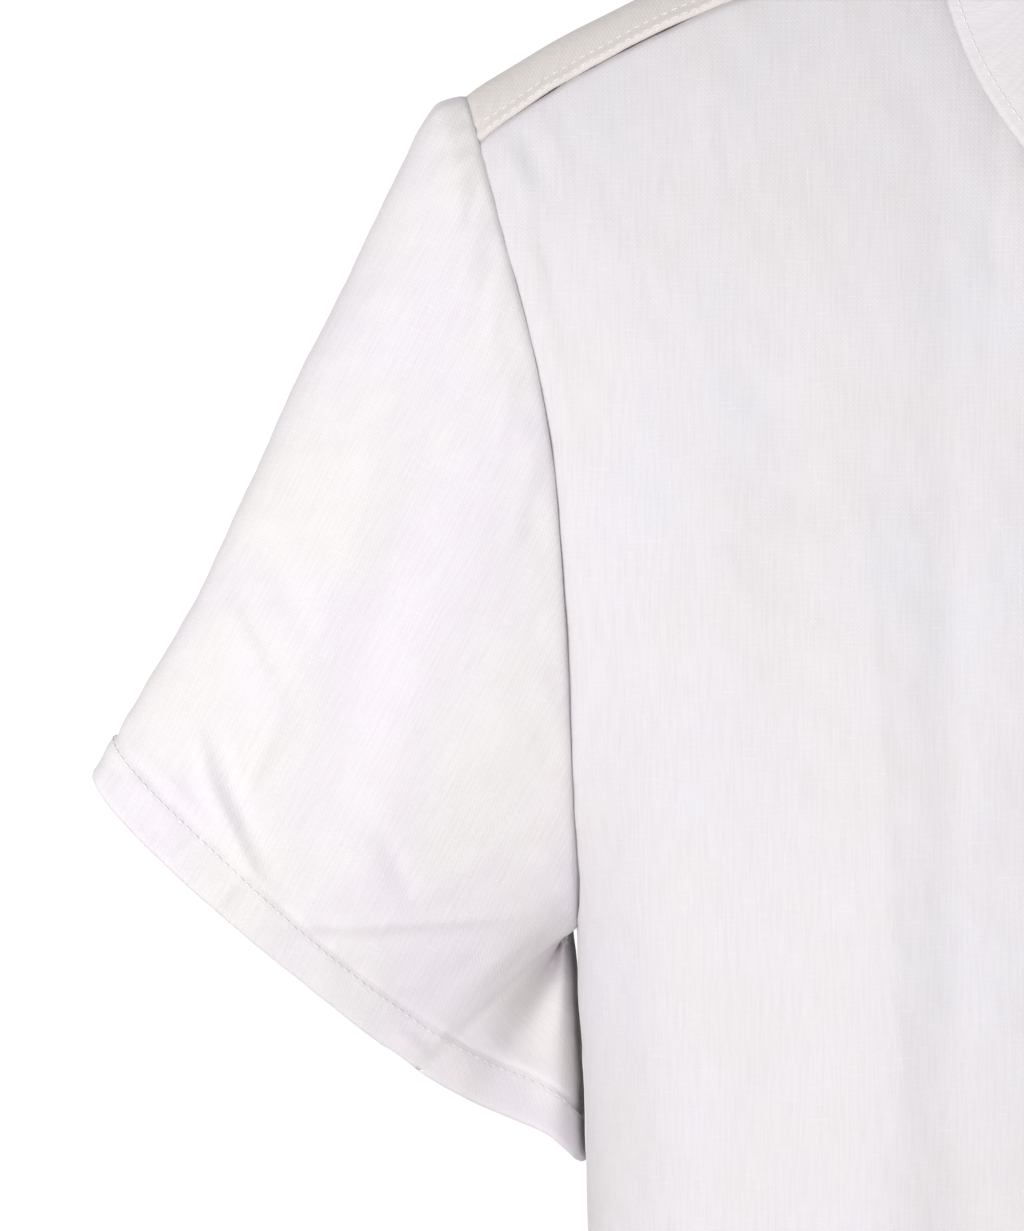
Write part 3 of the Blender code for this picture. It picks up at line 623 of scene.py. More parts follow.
# How far the creases lift each place of a sheet seen from the front or the back, in metres
def creaseShift(x, z, creases):
    total = np.zeros_like(x)
    for places, left, right, rise in creases:
        line = np.array(places, float) / 1000.0
        lengths = np.linalg.norm(np.diff(line, axis=0), axis=1)
        whole = lengths.sum()
        best = np.full_like(x, 1e9)
        offset = np.zeros_like(x)
        along = np.zeros_like(x)
        before = 0.0
        for start, end, length in zip(line, line[1:], lengths):
            step = (end - start) / length
            t = np.clip((x - start[0]) * step[0] + (z - start[1]) * step[1], 0.0, length)
            dx = x - start[0] - step[0] * t
            dz = z - start[1] - step[1] * t
            distance = np.hypot(dx, dz)
            nearer = distance < best
            best = np.where(nearer, distance, best)
            offset = np.where(nearer, step[0] * dz - step[1] * dx, offset)
            along = np.where(nearer, (before + t) / whole, along)
            before += length
        width = np.where(offset > 0.0, left, right) / 1000.0
        taper = np.sin(np.pi * np.clip(along, 0.02, 0.98)) ** 0.6
        total += rise / 1000.0 * taper * np.exp(-(best / width) ** 2)
    return total


# Soft irregular waves of about one size, roughly -1 to 1, with no direction of their own
def waviness(points, size, seed):
    local = np.random.default_rng(seed)
    total = 0.0
    for _ in range(7):
        wave = local.normal(size=3)
        wave /= np.linalg.norm(wave) * size * local.uniform(0.7, 1.5)
        total = total + np.sin(2.0 * np.pi * (points @ wave) + local.uniform(0.0, 6.28))
    return total / 4.0


def waves(points, kinds, seed):
    return sum(rise * waviness(points, size, seed + k) for k, (rise, size) in enumerate(kinds))


def gridPoints(columns, rows, place):
    return np.array([[place(column, row)[:] for column in columns] for row in rows])


def normalsOf(points):
    return unit(np.cross(np.gradient(points, axis=1), np.gradient(points, axis=0)))


def lengthsAlong(points, axis):
    gaps = np.linalg.norm(np.diff(points, axis=axis), axis=2)
    start = np.zeros((1, points.shape[1])) if axis == 0 else np.zeros((points.shape[0], 1))
    return np.concatenate([start, np.cumsum(gaps, axis=axis)], axis=axis)


# Where the threads start to run straight, and where a tube's front and back threads take over from each other
threads = {"flatFrom": 0.30, "flatOver": 0.35, "joinFrom": 0.44, "joinOver": 0.12, "look": 4}


def threadPlaces(points, along, start):
    # Cloth coordinates in metres: up the threads, and round the form at right angles to them. Threads run
    # straight where the cloth faces the front or the back. A tube has a second starting column, at its back.
    along = unit(np.array(along, float))
    sideways = unit(np.cross(along, (0.0, 1.0, 0.0)))
    flat = np.clip((np.abs(normalsOf(points)[..., 1]) - threads["flatFrom"]) / threads["flatOver"], 0.0, 1.0)
    flat = (flat[:, 1:] + flat[:, :-1]) / 2.0
    moves = np.diff(points, axis=1)
    moves = moves - (moves @ along)[..., None] * along
    level = moves @ sideways
    lengths = np.sqrt(level ** 2 + (1.0 - flat) * ((moves ** 2).sum(axis=2) - level ** 2).clip(0.0))
    across = np.concatenate([np.zeros((len(points), 1)), np.cumsum(lengths, axis=1)], axis=1)
    if np.ndim(start) == 0:
        return across - across[:, start:start + 1], points @ along
    place = points @ sideways
    middle = len(points) // 2
    back = eased((np.linspace(0.0, 1.0, points.shape[1]) - threads["joinFrom"]) / threads["joinOver"])
    total = 0.0
    for column, weight in zip(start, (1.0 - back, back)):
        ahead, behind = (place[middle, column + look] for look in (threads["look"], -threads["look"]))
        turn = math.copysign(1.0, ahead - behind)
        own = across - across[:, column:column + 1] + turn * place[:, column:column + 1]
        total = total + (own - own[middle, points.shape[1] // 2]) * weight
    return total, points @ along


def linear(code):
    values = [int(code[k:k + 2], 16) / 255.0 for k in (1, 3, 5)]
    return [c / 12.92 if c <= 0.04045 else ((c + 0.055) / 1.055) ** 2.4 for c in values] + [1.0]


def addNode(tree, kind, settings=None, values=None, links=None):
    node = tree.nodes.new(kind)
    for key, value in (settings or {}).items():
        setattr(node, key, value)
    for key, value in (values or {}).items():
        node.inputs[key].default_value = value
    for key, source in (links or {}).items():
        tree.links.new(source, node.inputs[key])
    return node


# Woven linen: matt, a little hairy, with light coming through it and thicker threads here and there. Sizes
# are in metres. The real threads are about 0.6 mm apart, finer than a picture of the shirt can hold, so
# they are drawn at about twice that.
linen = {
    "thread": 0.0013,
    "threadWidth": 0.62,
    "uprightRun": 0.016,
    "levelRun": 0.012,
    "slubWidth": 0.0010,
    "uprightSlub": 0.012,
    "levelSlub": 0.009,
    "cloud": (0.045, 0.060),
    "slubFrom": 0.68,
    "slubTo": 0.80,
    "heights": {"upright": 0.7, "level": 0.8, "weave": 0.35, "uprightSlub": 0.35, "levelSlub": 0.45},
    # how strongly painted shade darkens the low places of the weave
    "gapShadeShare": 0.35,
    "slubShare": 0.7,
    "bump": 0.24,
    "bumpHeight": 0.0003,
    "through": 0.12,
    "shader": {"Roughness": 0.82, "IOR": 1.46, "Specular IOR Level": 0.25, "Sheen Weight": 0.12,
               "Sheen Roughness": 0.5},
}
# Linen colours. Each one's gapShade colour is painted shade for the low places of the weave.
bodyTint = {"cool": "#E6E3E8", "warm": "#E6E2E4", "gapShade": "#F3F1F2", "slub": "#EFECEE", "through": "#F4EFE9"}
# The sleeves' linen is the same cloth painted lighter: a painted highlight for the light the sleeves catch,
# which also lifts their shaded underarm.
sleeveLitTint = {"cool": "#F0EBF1", "warm": "#F1EDED", "gapShade": "#F4F2F3", "slub": "#F9F6F8", "through": "#F4EFE9"}
# The yoke's linen is the same cloth painted darker and warmer: painted shade on the top of the shoulders,
# which face up, away from the lamps.
yokeShadedTint = {"cool": "#E9E3E1", "warm": "#EAE3DF", "gapShade": "#F2EEEC", "slub": "#F5F0EE", "through": "#F2E8DE"}


def linenMaterial(name, tint, seed):
    material = bpy.data.materials.new(name)
    material.use_nodes = True
    tree = material.node_tree
    shader = tree.nodes["Principled BSDF"]
    for key, value in linen["shader"].items():
        shader.inputs[key].default_value = value
    place = addNode(tree, "ShaderNodeUVMap", {"uv_map": "cloth"}).outputs[0]

    def noise(across, up, detail, offset):
        spread = {"Scale": (1.0 / across, 1.0 / up, 1.0), "Location": (seed * 3.7 + offset, seed * 1.9, 0.0)}
        scaled = addNode(tree, "ShaderNodeMapping", None, spread, {"Vector": place}).outputs[0]
        return addNode(tree, "ShaderNodeTexNoise", {"noise_dimensions": "2D"},
                       {"Scale": 1.0, "Detail": detail, "Roughness": 0.6}, {"Vector": scaled}).outputs[0]

    def ranged(value, low, high, start, end):
        return addNode(tree, "ShaderNodeMapRange", {"clamp": True},
                       {"From Min": low, "From Max": high, "To Min": start, "To Max": end},
                       {"Value": value}).outputs[0]

    def combined(kind, first, second=0.0):
        node = addNode(tree, "ShaderNodeMath", {"operation": kind}, None, {0: first})
        if hasattr(second, "is_output"):
            tree.links.new(second, node.inputs[1])
        else:
            node.inputs[1].default_value = second
        return node.outputs[0]
    threadWidth = linen["thread"] * linen["threadWidth"]
    upright = noise(threadWidth, linen["uprightRun"], 1.0, 0.0)
    level = noise(linen["levelRun"], threadWidth, 1.0, 11.0)
    slubRange = (linen["slubFrom"], linen["slubTo"], 0.0, 1.0)
    levelSlub = ranged(noise(linen["levelSlub"], linen["slubWidth"], 1.0, 23.0), *slubRange)
    uprightSlub = ranged(noise(linen["slubWidth"], linen["uprightSlub"], 1.0, 37.0), *slubRange)
    cloudy = noise(*linen["cloud"], 2.0, 51.0)
    parts = addNode(tree, "ShaderNodeSeparateXYZ", None, None, {0: place})
    turns = 2.0 * math.pi / linen["thread"]
    waveAcross, waveUp = (combined("SINE", combined("MULTIPLY", part, turns)) for part in parts.outputs[:2])
    weave = combined("MULTIPLY", waveAcross, waveUp)

    def heightOf(part, name):
        return combined("MULTIPLY", part, linen["heights"][name])
    slubHeight = combined("ADD", heightOf(levelSlub, "levelSlub"), heightOf(uprightSlub, "uprightSlub"))
    height = combined("ADD", heightOf(upright, "upright"), heightOf(level, "level"))
    height = combined("ADD", combined("ADD", height, heightOf(weave, "weave")), slubHeight)
    bump = addNode(tree, "ShaderNodeBump", None, {"Strength": linen["bump"], "Distance": linen["bumpHeight"]},
                   {"Height": height})
    tree.links.new(bump.outputs[0], shader.inputs["Normal"])
    warm = addNode(tree, "ShaderNodeMix", {"data_type": "RGBA"},
                   {6: linear(tint["cool"]), 7: linear(tint["warm"])},
                   {0: ranged(cloudy, 0.35, 0.65, 0.0, 1.0)})
    # Painted shade: the colour is darkened where the upright threads lie low in the weave.
    dark = addNode(tree, "ShaderNodeMix", {"data_type": "RGBA", "blend_type": "MULTIPLY"},
                   {7: linear(tint["gapShade"])},
                   {6: warm.outputs[2], 0: ranged(upright, 0.60, 0.30, 0.0, linen["gapShadeShare"])})
    light = addNode(tree, "ShaderNodeMix", {"data_type": "RGBA"},
                    {7: linear(tint["slub"])},
                    {6: dark.outputs[2], 0: combined("MULTIPLY", slubHeight, linen["slubShare"])})
    tree.links.new(light.outputs[2], shader.inputs["Base Color"])
    through = addNode(tree, "ShaderNodeBsdfTranslucent", None, {"Color": linear(tint["through"])},
                      {"Normal": bump.outputs[0]})
    blend = addNode(tree, "ShaderNodeMixShader", None, {0: linen["through"]},
                    {1: shader.outputs[0], 2: through.outputs[0]})
    tree.links.new(blend.outputs[0], tree.nodes["Material Output"].inputs["Surface"])
    return material


def plainMaterial(name, colour, roughness, ior=1.5):
    material = bpy.data.materials.new(name)
    material.use_nodes = True
    shader = material.node_tree.nodes["Principled BSDF"]
    shader.inputs["Base Color"].default_value = linear(colour)
    shader.inputs["Roughness"].default_value = roughness
    shader.inputs["IOR"].default_value = ior
    return material


def objectOf(name, mesh, material):
    data = bpy.data.meshes.new(name)
    mesh.to_mesh(data)
    mesh.free()
    data.materials.append(material)
    item = bpy.data.objects.new(name, data)
    bpy.context.collection.objects.link(item)
    return item


def setInFrame(item, node):
    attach(item, "root")
    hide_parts(node)


# A thin shell on a grid of points, which outward turns the right way round. Its threads run along grain, and
# are measured on plain, the same grid with no creases. Its flat size is measured along the cloth.
def makeSheet(name, points, tint, seed, thickness, outward, plain=None, grain=(0, 0, 1), start=0, weld=False):
    rowCount, columnCount = points.shape[:2]
    u, v = threadPlaces(points if plain is None else plain, grain, start)
    mesh = bmesh.new()
    layer = mesh.loops.layers.uv.new("cloth")
    bmesh.ops.create_grid(mesh, x_segments=columnCount - 1, y_segments=rowCount - 1, size=1.0)
    places = {}
    for vertex in mesh.verts:
        i = round((vertex.co.x + 1.0) / 2.0 * (columnCount - 1))
        j = round((vertex.co.y + 1.0) / 2.0 * (rowCount - 1))
        places[vertex.index] = (i, j)
        vertex.co = points[j, i]
    for face in mesh.faces:
        for loop in face.loops:
            i, j = places[loop.vert.index]
            loop[layer].uv = (u[j, i], v[j, i])
    if weld:
        bmesh.ops.remove_doubles(mesh, verts=mesh.verts, dist=0.00001)
    if outward < 0:
        bmesh.ops.reverse_faces(mesh, faces=mesh.faces)
    item = objectOf(name, mesh, linenMaterial(name, tint, seed))
    item.data.shade_smooth()
    wall = item.modifiers.new("cloth", "SOLIDIFY")
    wall.thickness = thickness
    wall.offset = -1.0
    setInFrame(item, name)


# Length along the cloth from one edge of a grid
def distanceFrom(points, edge):
    if edge in ("bottom", "top"):
        length = lengthsAlong(points, 0)
        return length if edge == "bottom" else length[-1:] - length
    length = lengthsAlong(points, 1)
    return length if edge == "left" else length[:, -1:] - length


# Beside seams and stitching, in metres. A groove has its distance from the edge, its depth and its width, a
# lip its rise and its width, and puckers their rise, size, distance from the edge and spread.
sewing = {
    "armholeGroove": (0.0, 0.0003, 0.0030),
    "frontTopGroove": (0.0, 0.0007, 0.0026),
    "backTopGroove": (0.0, 0.0008, 0.0026),
    "sleeveSeamGroove": (0.0, 0.0005, 0.0018),
    "bodyHemGroove": (cloth["bodyHem"], 0.0004, 0.0010),
    "sleeveHemGroove": (cloth["hemTurn"] + 0.0006, 0.0006, 0.0010),
    "yokeGroove": (0.0050, 0.0003, 0.0008),
    "leafGroove": (0.0055, 0.0003, 0.0008),
    "placketGroove": (0.0052, 0.0003, 0.0008),
    "sideLip": (0.0005, 0.0016),
    "yokeLip": (0.0007, 0.0014),
    "sleeveLip": (0.0005, 0.0024),
    "bodyHemPuckers": (0.0003, 0.011, 0.014, 0.009),
    "yokePuckers": (0.00035, 0.010, 0.004, 0.006),
    "armholePuckers": (0.0004, 0.010, 0.006, 0.007),
    "sleeveHemPuckers": (0.0004, 0.011, 0.012, 0.009),
}


# A rolled edge: nothing at the seam, highest one width away from it
def lip(distance, kind):
    rise, width = sewing[kind]
    return rise * (distance / width) * np.exp(1.0 - distance / width)


def groove(distance, kind):
    place, depth, width = sewing[kind]
    return -depth * np.exp(-((distance - place) / width) ** 2)


def puckers(points, distance, kind, seed):
    rise, size, place, spread = sewing[kind]
    return rise * waviness(points, size, seed) * np.exp(-((distance - place) / spread) ** 2)


def raised(points, outward, amount):
    return points + normalsOf(points) * outward * amount[..., None]


# How far a grid moves out by its creases where it faces the front (-1) or the back (1)
def creased(points, outward, creases, facing, side, slip=0.0):
    weight = eased(((normalsOf(points) * outward)[..., 1] * facing - 0.05) / 0.3)
    return creaseShift(points[..., 0] * side, points[..., 2] + slip, creases) * weight


# The grid with one edge turned under into a hem: a small round fold, then the cloth running back inside
def foldedUnder(points, outward, edge, depth):
    if edge == "bottom":
        return foldedUnder(points[::-1], -outward, "top", depth)[::-1]
    normals = normalsOf(points) * outward
    layer, turns = cloth["hemLayer"], cloth["hemTurns"]
    along = unit(points[-1] - points[-2])
    rows = []
    for k in range(1, turns + 1):
        angle = math.pi * k / turns
        inwards = normals[-2] * layer * (1.0 - math.cos(angle))
        rows.append(points[-1] + along * layer * math.sin(angle) - inwards)
    inner = distanceFrom(points, "top").max(axis=1)
    for j in range(len(points) - 2, -1, -1):
        if inner[j] <= depth:
            rows.append(points[j] - normals[j] * 2.0 * layer)
    return np.concatenate([points, np.array(rows)])


# The grid with a seam allowance: at its top the cloth steps in and runs on under its neighbour
def tuckedUnder(points, outward, reach):
    normal = (normalsOf(points) * outward)[-2]
    along = unit(points[-1] - points[-2])
    reach = np.broadcast_to(np.asarray(reach, float), len(along))[:, None]
    ease = 0.0001 * (reach > 0)
    drop = cloth["allowanceDrop"]
    rows = [points[-1] + along * ease * 2.0 - normal * drop * 0.35,
            points[-1] + along * ease * 3.0 - normal * drop,
            points[-1] + along * (ease * 3.0 + reach) - normal * drop]
    return np.concatenate([points, np.array(rows)])


stitchMeshes = {"points": [], "faces": [], "count": 0}
stitch = {"length": 0.0023, "pitch": 0.0030, "radius": 0.00022, "flat": 0.75, "lift": 0.00015}


def stitchTemplate():
    mesh = bmesh.new()
    bmesh.ops.create_uvsphere(mesh, u_segments=6, v_segments=4, radius=1.0)
    corners = np.array([vertex.co[:] for vertex in mesh.verts])[:, [2, 0, 1]]
    faces = [[vertex.index for vertex in face.verts] for face in mesh.faces]
    mesh.free()
    return corners, faces


stitchCorners, stitchFaces = stitchTemplate()


def addStitch(middle, along, facing, length, radius):
    along = unit(along)
    facing = unit(facing - along * float(np.dot(facing, along)))
    size = np.array([length / 2.0, radius, radius * stitch["flat"]])
    placed = (stitchCorners * size) @ np.array([along, np.cross(facing, along), facing]) + middle
    first = stitchMeshes["count"]
    stitchMeshes["points"].append(placed)
    stitchMeshes["faces"] += [[first + index for index in face] for face in stitchFaces]
    stitchMeshes["count"] += len(placed)


def between(place, places, table):
    return np.array([np.interp(place, places, table[:, k]) for k in range(3)])


# Even stitches along a line at one distance from an edge of a grid, which stop short of its ends
def stitchLine(points, outward, edge, distance, short=0.0, farShort=None):
    normals = normalsOf(points) * outward
    if edge in ("left", "right"):
        points = points.transpose(1, 0, 2)
        normals = normals.transpose(1, 0, 2)
    length = distanceFrom(points, "bottom" if edge in ("left", "bottom") else "top")
    places = []
    facings = []
    for i in range(points.shape[1]):
        order = np.argsort(length[:, i])
        place, facing = (between(distance, length[order, i], table[order, i]) for table in (points, normals))
        places.append(place + facing * stitch["lift"])
        facings.append(facing)
    places = np.array(places)
    facings = np.array(facings)
    lengths = np.concatenate([[0.0], np.cumsum(np.linalg.norm(np.diff(places, axis=0), axis=1))])
    spot = short + stitch["pitch"] / 2.0
    half = stitch["length"] / 2.0
    while spot < lengths[-1] - (short if farShort is None else farShort) - stitch["pitch"] / 2.0:
        middle, before, after = (between(spot + move, lengths, places) for move in (0.0, -half, half))
        facing = between(spot, lengths, facings)
        size = stitch["length"] * rng.uniform(0.92, 1.05)
        addStitch(middle, after - before, facing, size, stitch["radius"])
        spot += stitch["pitch"] * rng.uniform(0.97, 1.03)


# Drawn in along the armhole, and a rolled edge along the side seam below it
def sideEdges(points, edges):
    above = np.clip((points[..., 2] - body["armpitHeight"]) / 0.006, 0.0, 1.0)
    shift = 0.0
    for edge in edges:
        distance = distanceFrom(points, edge)
        shift = shift + groove(distance, "armholeGroove") * above + lip(distance, "sideLip") * (1.0 - above)
    return shift


def bodyHem(points, seed):
    fromHem = distanceFrom(points, "bottom")
    return groove(fromHem, "bodyHemGroove") + puckers(points, fromHem, "bodyHemPuckers", seed)


def bodyRows(hemCount, count):
    return steps(hemCount, 0.0, bodyHemShare * 1.2)[:-1] + steps(count, bodyHemShare * 1.2, 1.0)


# Right and left fronts
frontCloth = {"waves": ((0.0005, 0.045), (0.0002, 0.014)), "ease": 0.01, "flat": 0.014, "hemStitch": 0.0015}


def makeFront(name, side, columnCount, rowCount, slip, seed):
    points = gridPoints([-1.0] + steps(columnCount), bodyRows(12, rowCount), frontPlace(side))
    out = np.abs(points[..., 0])
    overYoke = np.clip((out - neck["half"]) / frontCloth["ease"], 0.0, 1.0)
    shift = creased(points, side, frontCreases, -1.0, -side, slip) + waves(points, frontCloth["waves"], seed)
    shift += sideEdges(points, ["right"]) + bodyHem(points, seed + 2)
    shift += groove(distanceFrom(points, "top"), "frontTopGroove") * overYoke
    plain = points
    offPlacket = np.clip((out - frontCloth["flat"]) / frontCloth["ease"], 0.0, 1.0)
    points = raised(points, side, shift * offPlacket)
    stitchLine(points, side, "bottom", cloth["bodyHem"] - frontCloth["hemStitch"])

    def sewn(grid):
        return tuckedUnder(foldedUnder(grid, side, "bottom", cloth["bodyHem"]), side,
                           cloth["allowance"] * overYoke[-1])
    makeSheet(name, sewn(points), bodyTint, seed, cloth["thickness"], side, sewn(plain), start=1)


makeFront("right_front", -1.0, 108, 236, 0.0, 1)
makeFront("left_front", 1.0, 64, 140, 0.013, 5)
print("fronts made")


# Back
backCloth = {"waves": ((0.0006, 0.050), (0.0002, 0.015)), "hemStitch": 0.0015, "columns": 128}


def makeBack(seed):
    points = gridPoints(steps(backCloth["columns"], -1.0, 1.0), bodyRows(10, 136), backPlace)
    shift = creased(points, -1.0, backCreases, 1.0, 1.0) + waves(points, backCloth["waves"], seed)
    shift += sideEdges(points, ["left", "right"]) + bodyHem(points, seed + 2)
    shift += groove(distanceFrom(points, "top"), "backTopGroove")
    plain = points
    points = raised(points, -1.0, shift)
    stitchLine(points, -1.0, "bottom", cloth["bodyHem"] - backCloth["hemStitch"])

    def sewn(grid):
        return tuckedUnder(foldedUnder(grid, -1.0, "bottom", cloth["bodyHem"]), -1.0, cloth["allowance"])
    makeSheet("back", sewn(points), bodyTint, seed, cloth["thickness"], -1.0, sewn(plain),
              start=backCloth["columns"] // 2)


makeBack(9)
print("back made")


# Yoke
yokeCloth = {"waves": ((0.0003, 0.030),), "ease": 0.01, "stitchRows": (0.0018, 0.0062), "short": 0.003}


def makeYoke(seed):
    split = 1.0 - yoke["neckStart"]
    half = steps(44, 0.0, split)[:-1] + steps(52, split, 1.0)
    columns = [-place for place in reversed(half[1:])] + half
    rows = steps(6, 0.0, 0.10)[:-1] + steps(28, 0.10, 0.94)[:-1] + steps(6, 0.94, 1.0)
    points = gridPoints(columns, rows, yokePlace)
    fromFront = distanceFrom(points, "bottom")
    fromBack = distanceFrom(points, "top")
    offNeck = np.clip((np.abs(points[..., 0]) - neck["half"]) / yokeCloth["ease"], 0.0, 1.0)
    shift = waves(points, yokeCloth["waves"], seed)
    shift += puckers(points, fromFront, "yokePuckers", seed + 1) * offNeck
    for distance, amount in ((fromFront, offNeck), (fromBack, 1.0)):
        shift += (lip(distance, "yokeLip") + groove(distance, "yokeGroove")) * amount
    for edge in ("left", "right"):
        shift += groove(distanceFrom(points, edge), "armholeGroove")
    points = raised(points, 1.0, shift)
    left = [i for i, column in enumerate(columns) if column <= -split]
    right = [i for i, column in enumerate(columns) if column >= split]
    for line, edge in ((left, "bottom"), (right, "bottom"), (slice(None), "top")):
        for row in yokeCloth["stitchRows"]:
            stitchLine(points[:, line], 1.0, edge, row, yokeCloth["short"])
    makeSheet("yoke", points, yokeShadedTint, seed, cloth["thickness"], 1.0, start=len(columns) // 2)


makeYoke(13)
print("yoke made")


# Sleeves. Each row of the allowance that goes into the armhole lies this deep under the seam and this far in.
sleeveCloth = {
    "waves": ((0.0006, 0.050), (0.0002, 0.013)),
    "hemStitch": 0.0014,
    "allowance": ((0.0020, 0.0060), (0.0018, 0.0009), (0.0009, 0.0004), (0.0002, 0.0001)),
    "seamEase": 0.0004,
}


def makeSleeve(name, side, columnCount, rowCount, slip, seed):
    columns = [math.pi + 2.0 * math.pi * i / columnCount for i in range(columnCount + 1)]
    rows = steps(10, 0.0, 0.05)[:-1] + steps(rowCount, 0.05, 0.88)[:-1] + steps(12, 0.88, 1.0)
    rows += steps(8, 1.0, 2.0)[1:]
    points = gridPoints(columns, rows, sleevePlace(side))
    fromSeam = distanceFrom(points, "bottom")
    fromMouth = distanceFrom(points, "top")
    shift = creased(points, side, sleeveFrontCreases, -1.0, -side, slip)
    shift += creased(points, side, sleeveBackCreases, 1.0, -side, slip)
    shift += waves(points, sleeveCloth["waves"], seed)
    shift += lip(fromSeam, "sleeveLip") + puckers(points, fromSeam, "armholePuckers", seed + 2)
    shift += groove(fromMouth, "sleeveHemGroove") + puckers(points, fromMouth, "sleeveHemPuckers", seed + 3)
    for edge in ("left", "right"):
        shift += groove(distanceFrom(points, edge), "sleeveSeamGroove")
    plain = points
    points = raised(points, side, shift * np.clip(fromSeam / sleeveCloth["seamEase"], 0.0, 1.0))
    points[:, -1] = points[:, 0]
    stitchLine(points, side, "top", cloth["hemTurn"] - sleeveCloth["hemStitch"])

    heart = np.array([0.0, body["sideDepth"], (body["armpitHeight"] - shoulder["drop"]) / 2.0])
    ring = points[0]
    inner = unit((heart - ring) * (0.0, 1.0, 1.0))
    under = [ring + inner * depth - np.array([side * reach, 0.0, 0.0])
             for depth, reach in sleeveCloth["allowance"]]

    def sewn(grid):
        return np.concatenate([np.array(under), foldedUnder(grid, side, "top", cloth["hemTurn"])])
    grain = (sleeve["outer"].x * side - shoulder["out"] * side, sleeve["outer"].y - shoulder["depth"],
             sleeve["outer"].z + shoulder["drop"])
    makeSheet(name, sewn(points), sleeveLitTint, seed, cloth["thickness"], side, sewn(plain), grain,
              (columnCount // 4, columnCount * 3 // 4), weld=True)


makeSleeve("right_sleeve", -1.0, 236, 88, 0.0, 17)
makeSleeve("left_sleeve", 1.0, 150, 56, 0.011, 23)
print("sleeves made")


# Collar
collarCloth = {"waves": ((0.00035, 0.030),), "standStitch": 0.0020, "leafStitch": 0.0052, "columns": 168}


def makeCollar(seed):
    extra = collar["extra"]
    shares = [-extra, -extra / 2.0] + steps(collarCloth["columns"]) + [1.0 + extra / 2.0, 1.0 + extra]
    points = gridPoints(shares, steps(10), standPoint)
    makeSheet("collar_stand", points, bodyTint, seed, cloth["standThickness"], -1.0)
    stitchLine(points, -1.0, "bottom", collarCloth["standStitch"], 0.002)
    spread = steps(10, 0.0, collar["foldShare"]) + steps(22, collar["foldShare"], 1.0)[1:]
    shares = steps(collarCloth["columns"], collar["leafStart"], 1.0 - collar["leafStart"])
    points = gridPoints(shares, spread, leafPoint)
    onLeaf = np.array([smooth((place - collar["foldShare"]) * 5.0) for place in spread])[:, None]
    shift = waves(points, collarCloth["waves"], seed + 1) * onLeaf
    for edge in ("top", "left", "right"):
        shift += groove(distanceFrom(points, edge), "leafGroove") * onLeaf
    points = raised(points, 1.0, shift)
    leaf = points[np.array(spread) >= collar["foldShare"]]
    stitchLine(points, 1.0, "top", collarCloth["leafStitch"], 0.005)
    for edge in ("left", "right"):
        stitchLine(leaf, 1.0, edge, collarCloth["leafStitch"], 0.004, 0.005)
    makeSheet("collar_leaf", points, bodyTint, seed + 2, cloth["standThickness"], 1.0)


makeCollar(31)
print("collar made")


# Front surface at a number of metres from the middle
def centreFront(out, share):
    low, high = 0.0, neck["share"]
    for _ in range(20):
        middle = (low + high) / 2.0
        if bodyPanel(middle, share, False).x < abs(out):
            low = middle
        else:
            high = middle
    point = bodyPanel(low, share, False)
    return Vector((out, point.y, point.z))


placket = {"waves": ((0.0002, 0.030),), "stitch": 0.0050, "short": 0.002}


def makePlacket(seed):
    lift = body["closingLift"] + cloth["thickness"] + cloth["seamGap"]

    def place(out, share):
        return centreFront(max(out, 0.0), share) + Vector((min(out, 0.0), -lift, 0.0))
    columns = steps(14, -body["placketHalf"], body["placketHalf"] - body["placketInset"])
    points = gridPoints(columns, steps(150), place)
    shift = waves(points, placket["waves"], seed)
    for edge in ("left", "right"):
        shift += groove(distanceFrom(points, edge), "placketGroove")
    points = raised(points, 1.0, shift)
    for edge in ("left", "right"):
        stitchLine(points, 1.0, edge, placket["stitch"], placket["short"])
    # its top end stops short of the collar stand by half a seam's gap
    points[-1] += unit(points[-2] - points[-1]) * cloth["seamGap"] / 2.0
    makeSheet("front_placket", points, bodyTint, seed, cloth["thickness"], 1.0)
    return points[:, points.shape[1] // 2]


placketLine = makePlacket(41)
print("placket made")


# Buttons: moulded resin, smooth and a little glossy, sewn on with matt cotton thread
buttonPlastic = plainMaterial("button", "#EDEAE4", 0.28, 1.53)
threadCotton = plainMaterial("sewing_thread", "#F1EEEE", 0.7, 1.46)
buttonThread = {"radius": 0.00021, "apart": 0.00022, "length": 3.1, "top": 0.74, "lift": 0.0001}
buttonhole = {"length": 0.0150, "half": 0.00125, "stitches": 26, "radius": 0.00026}


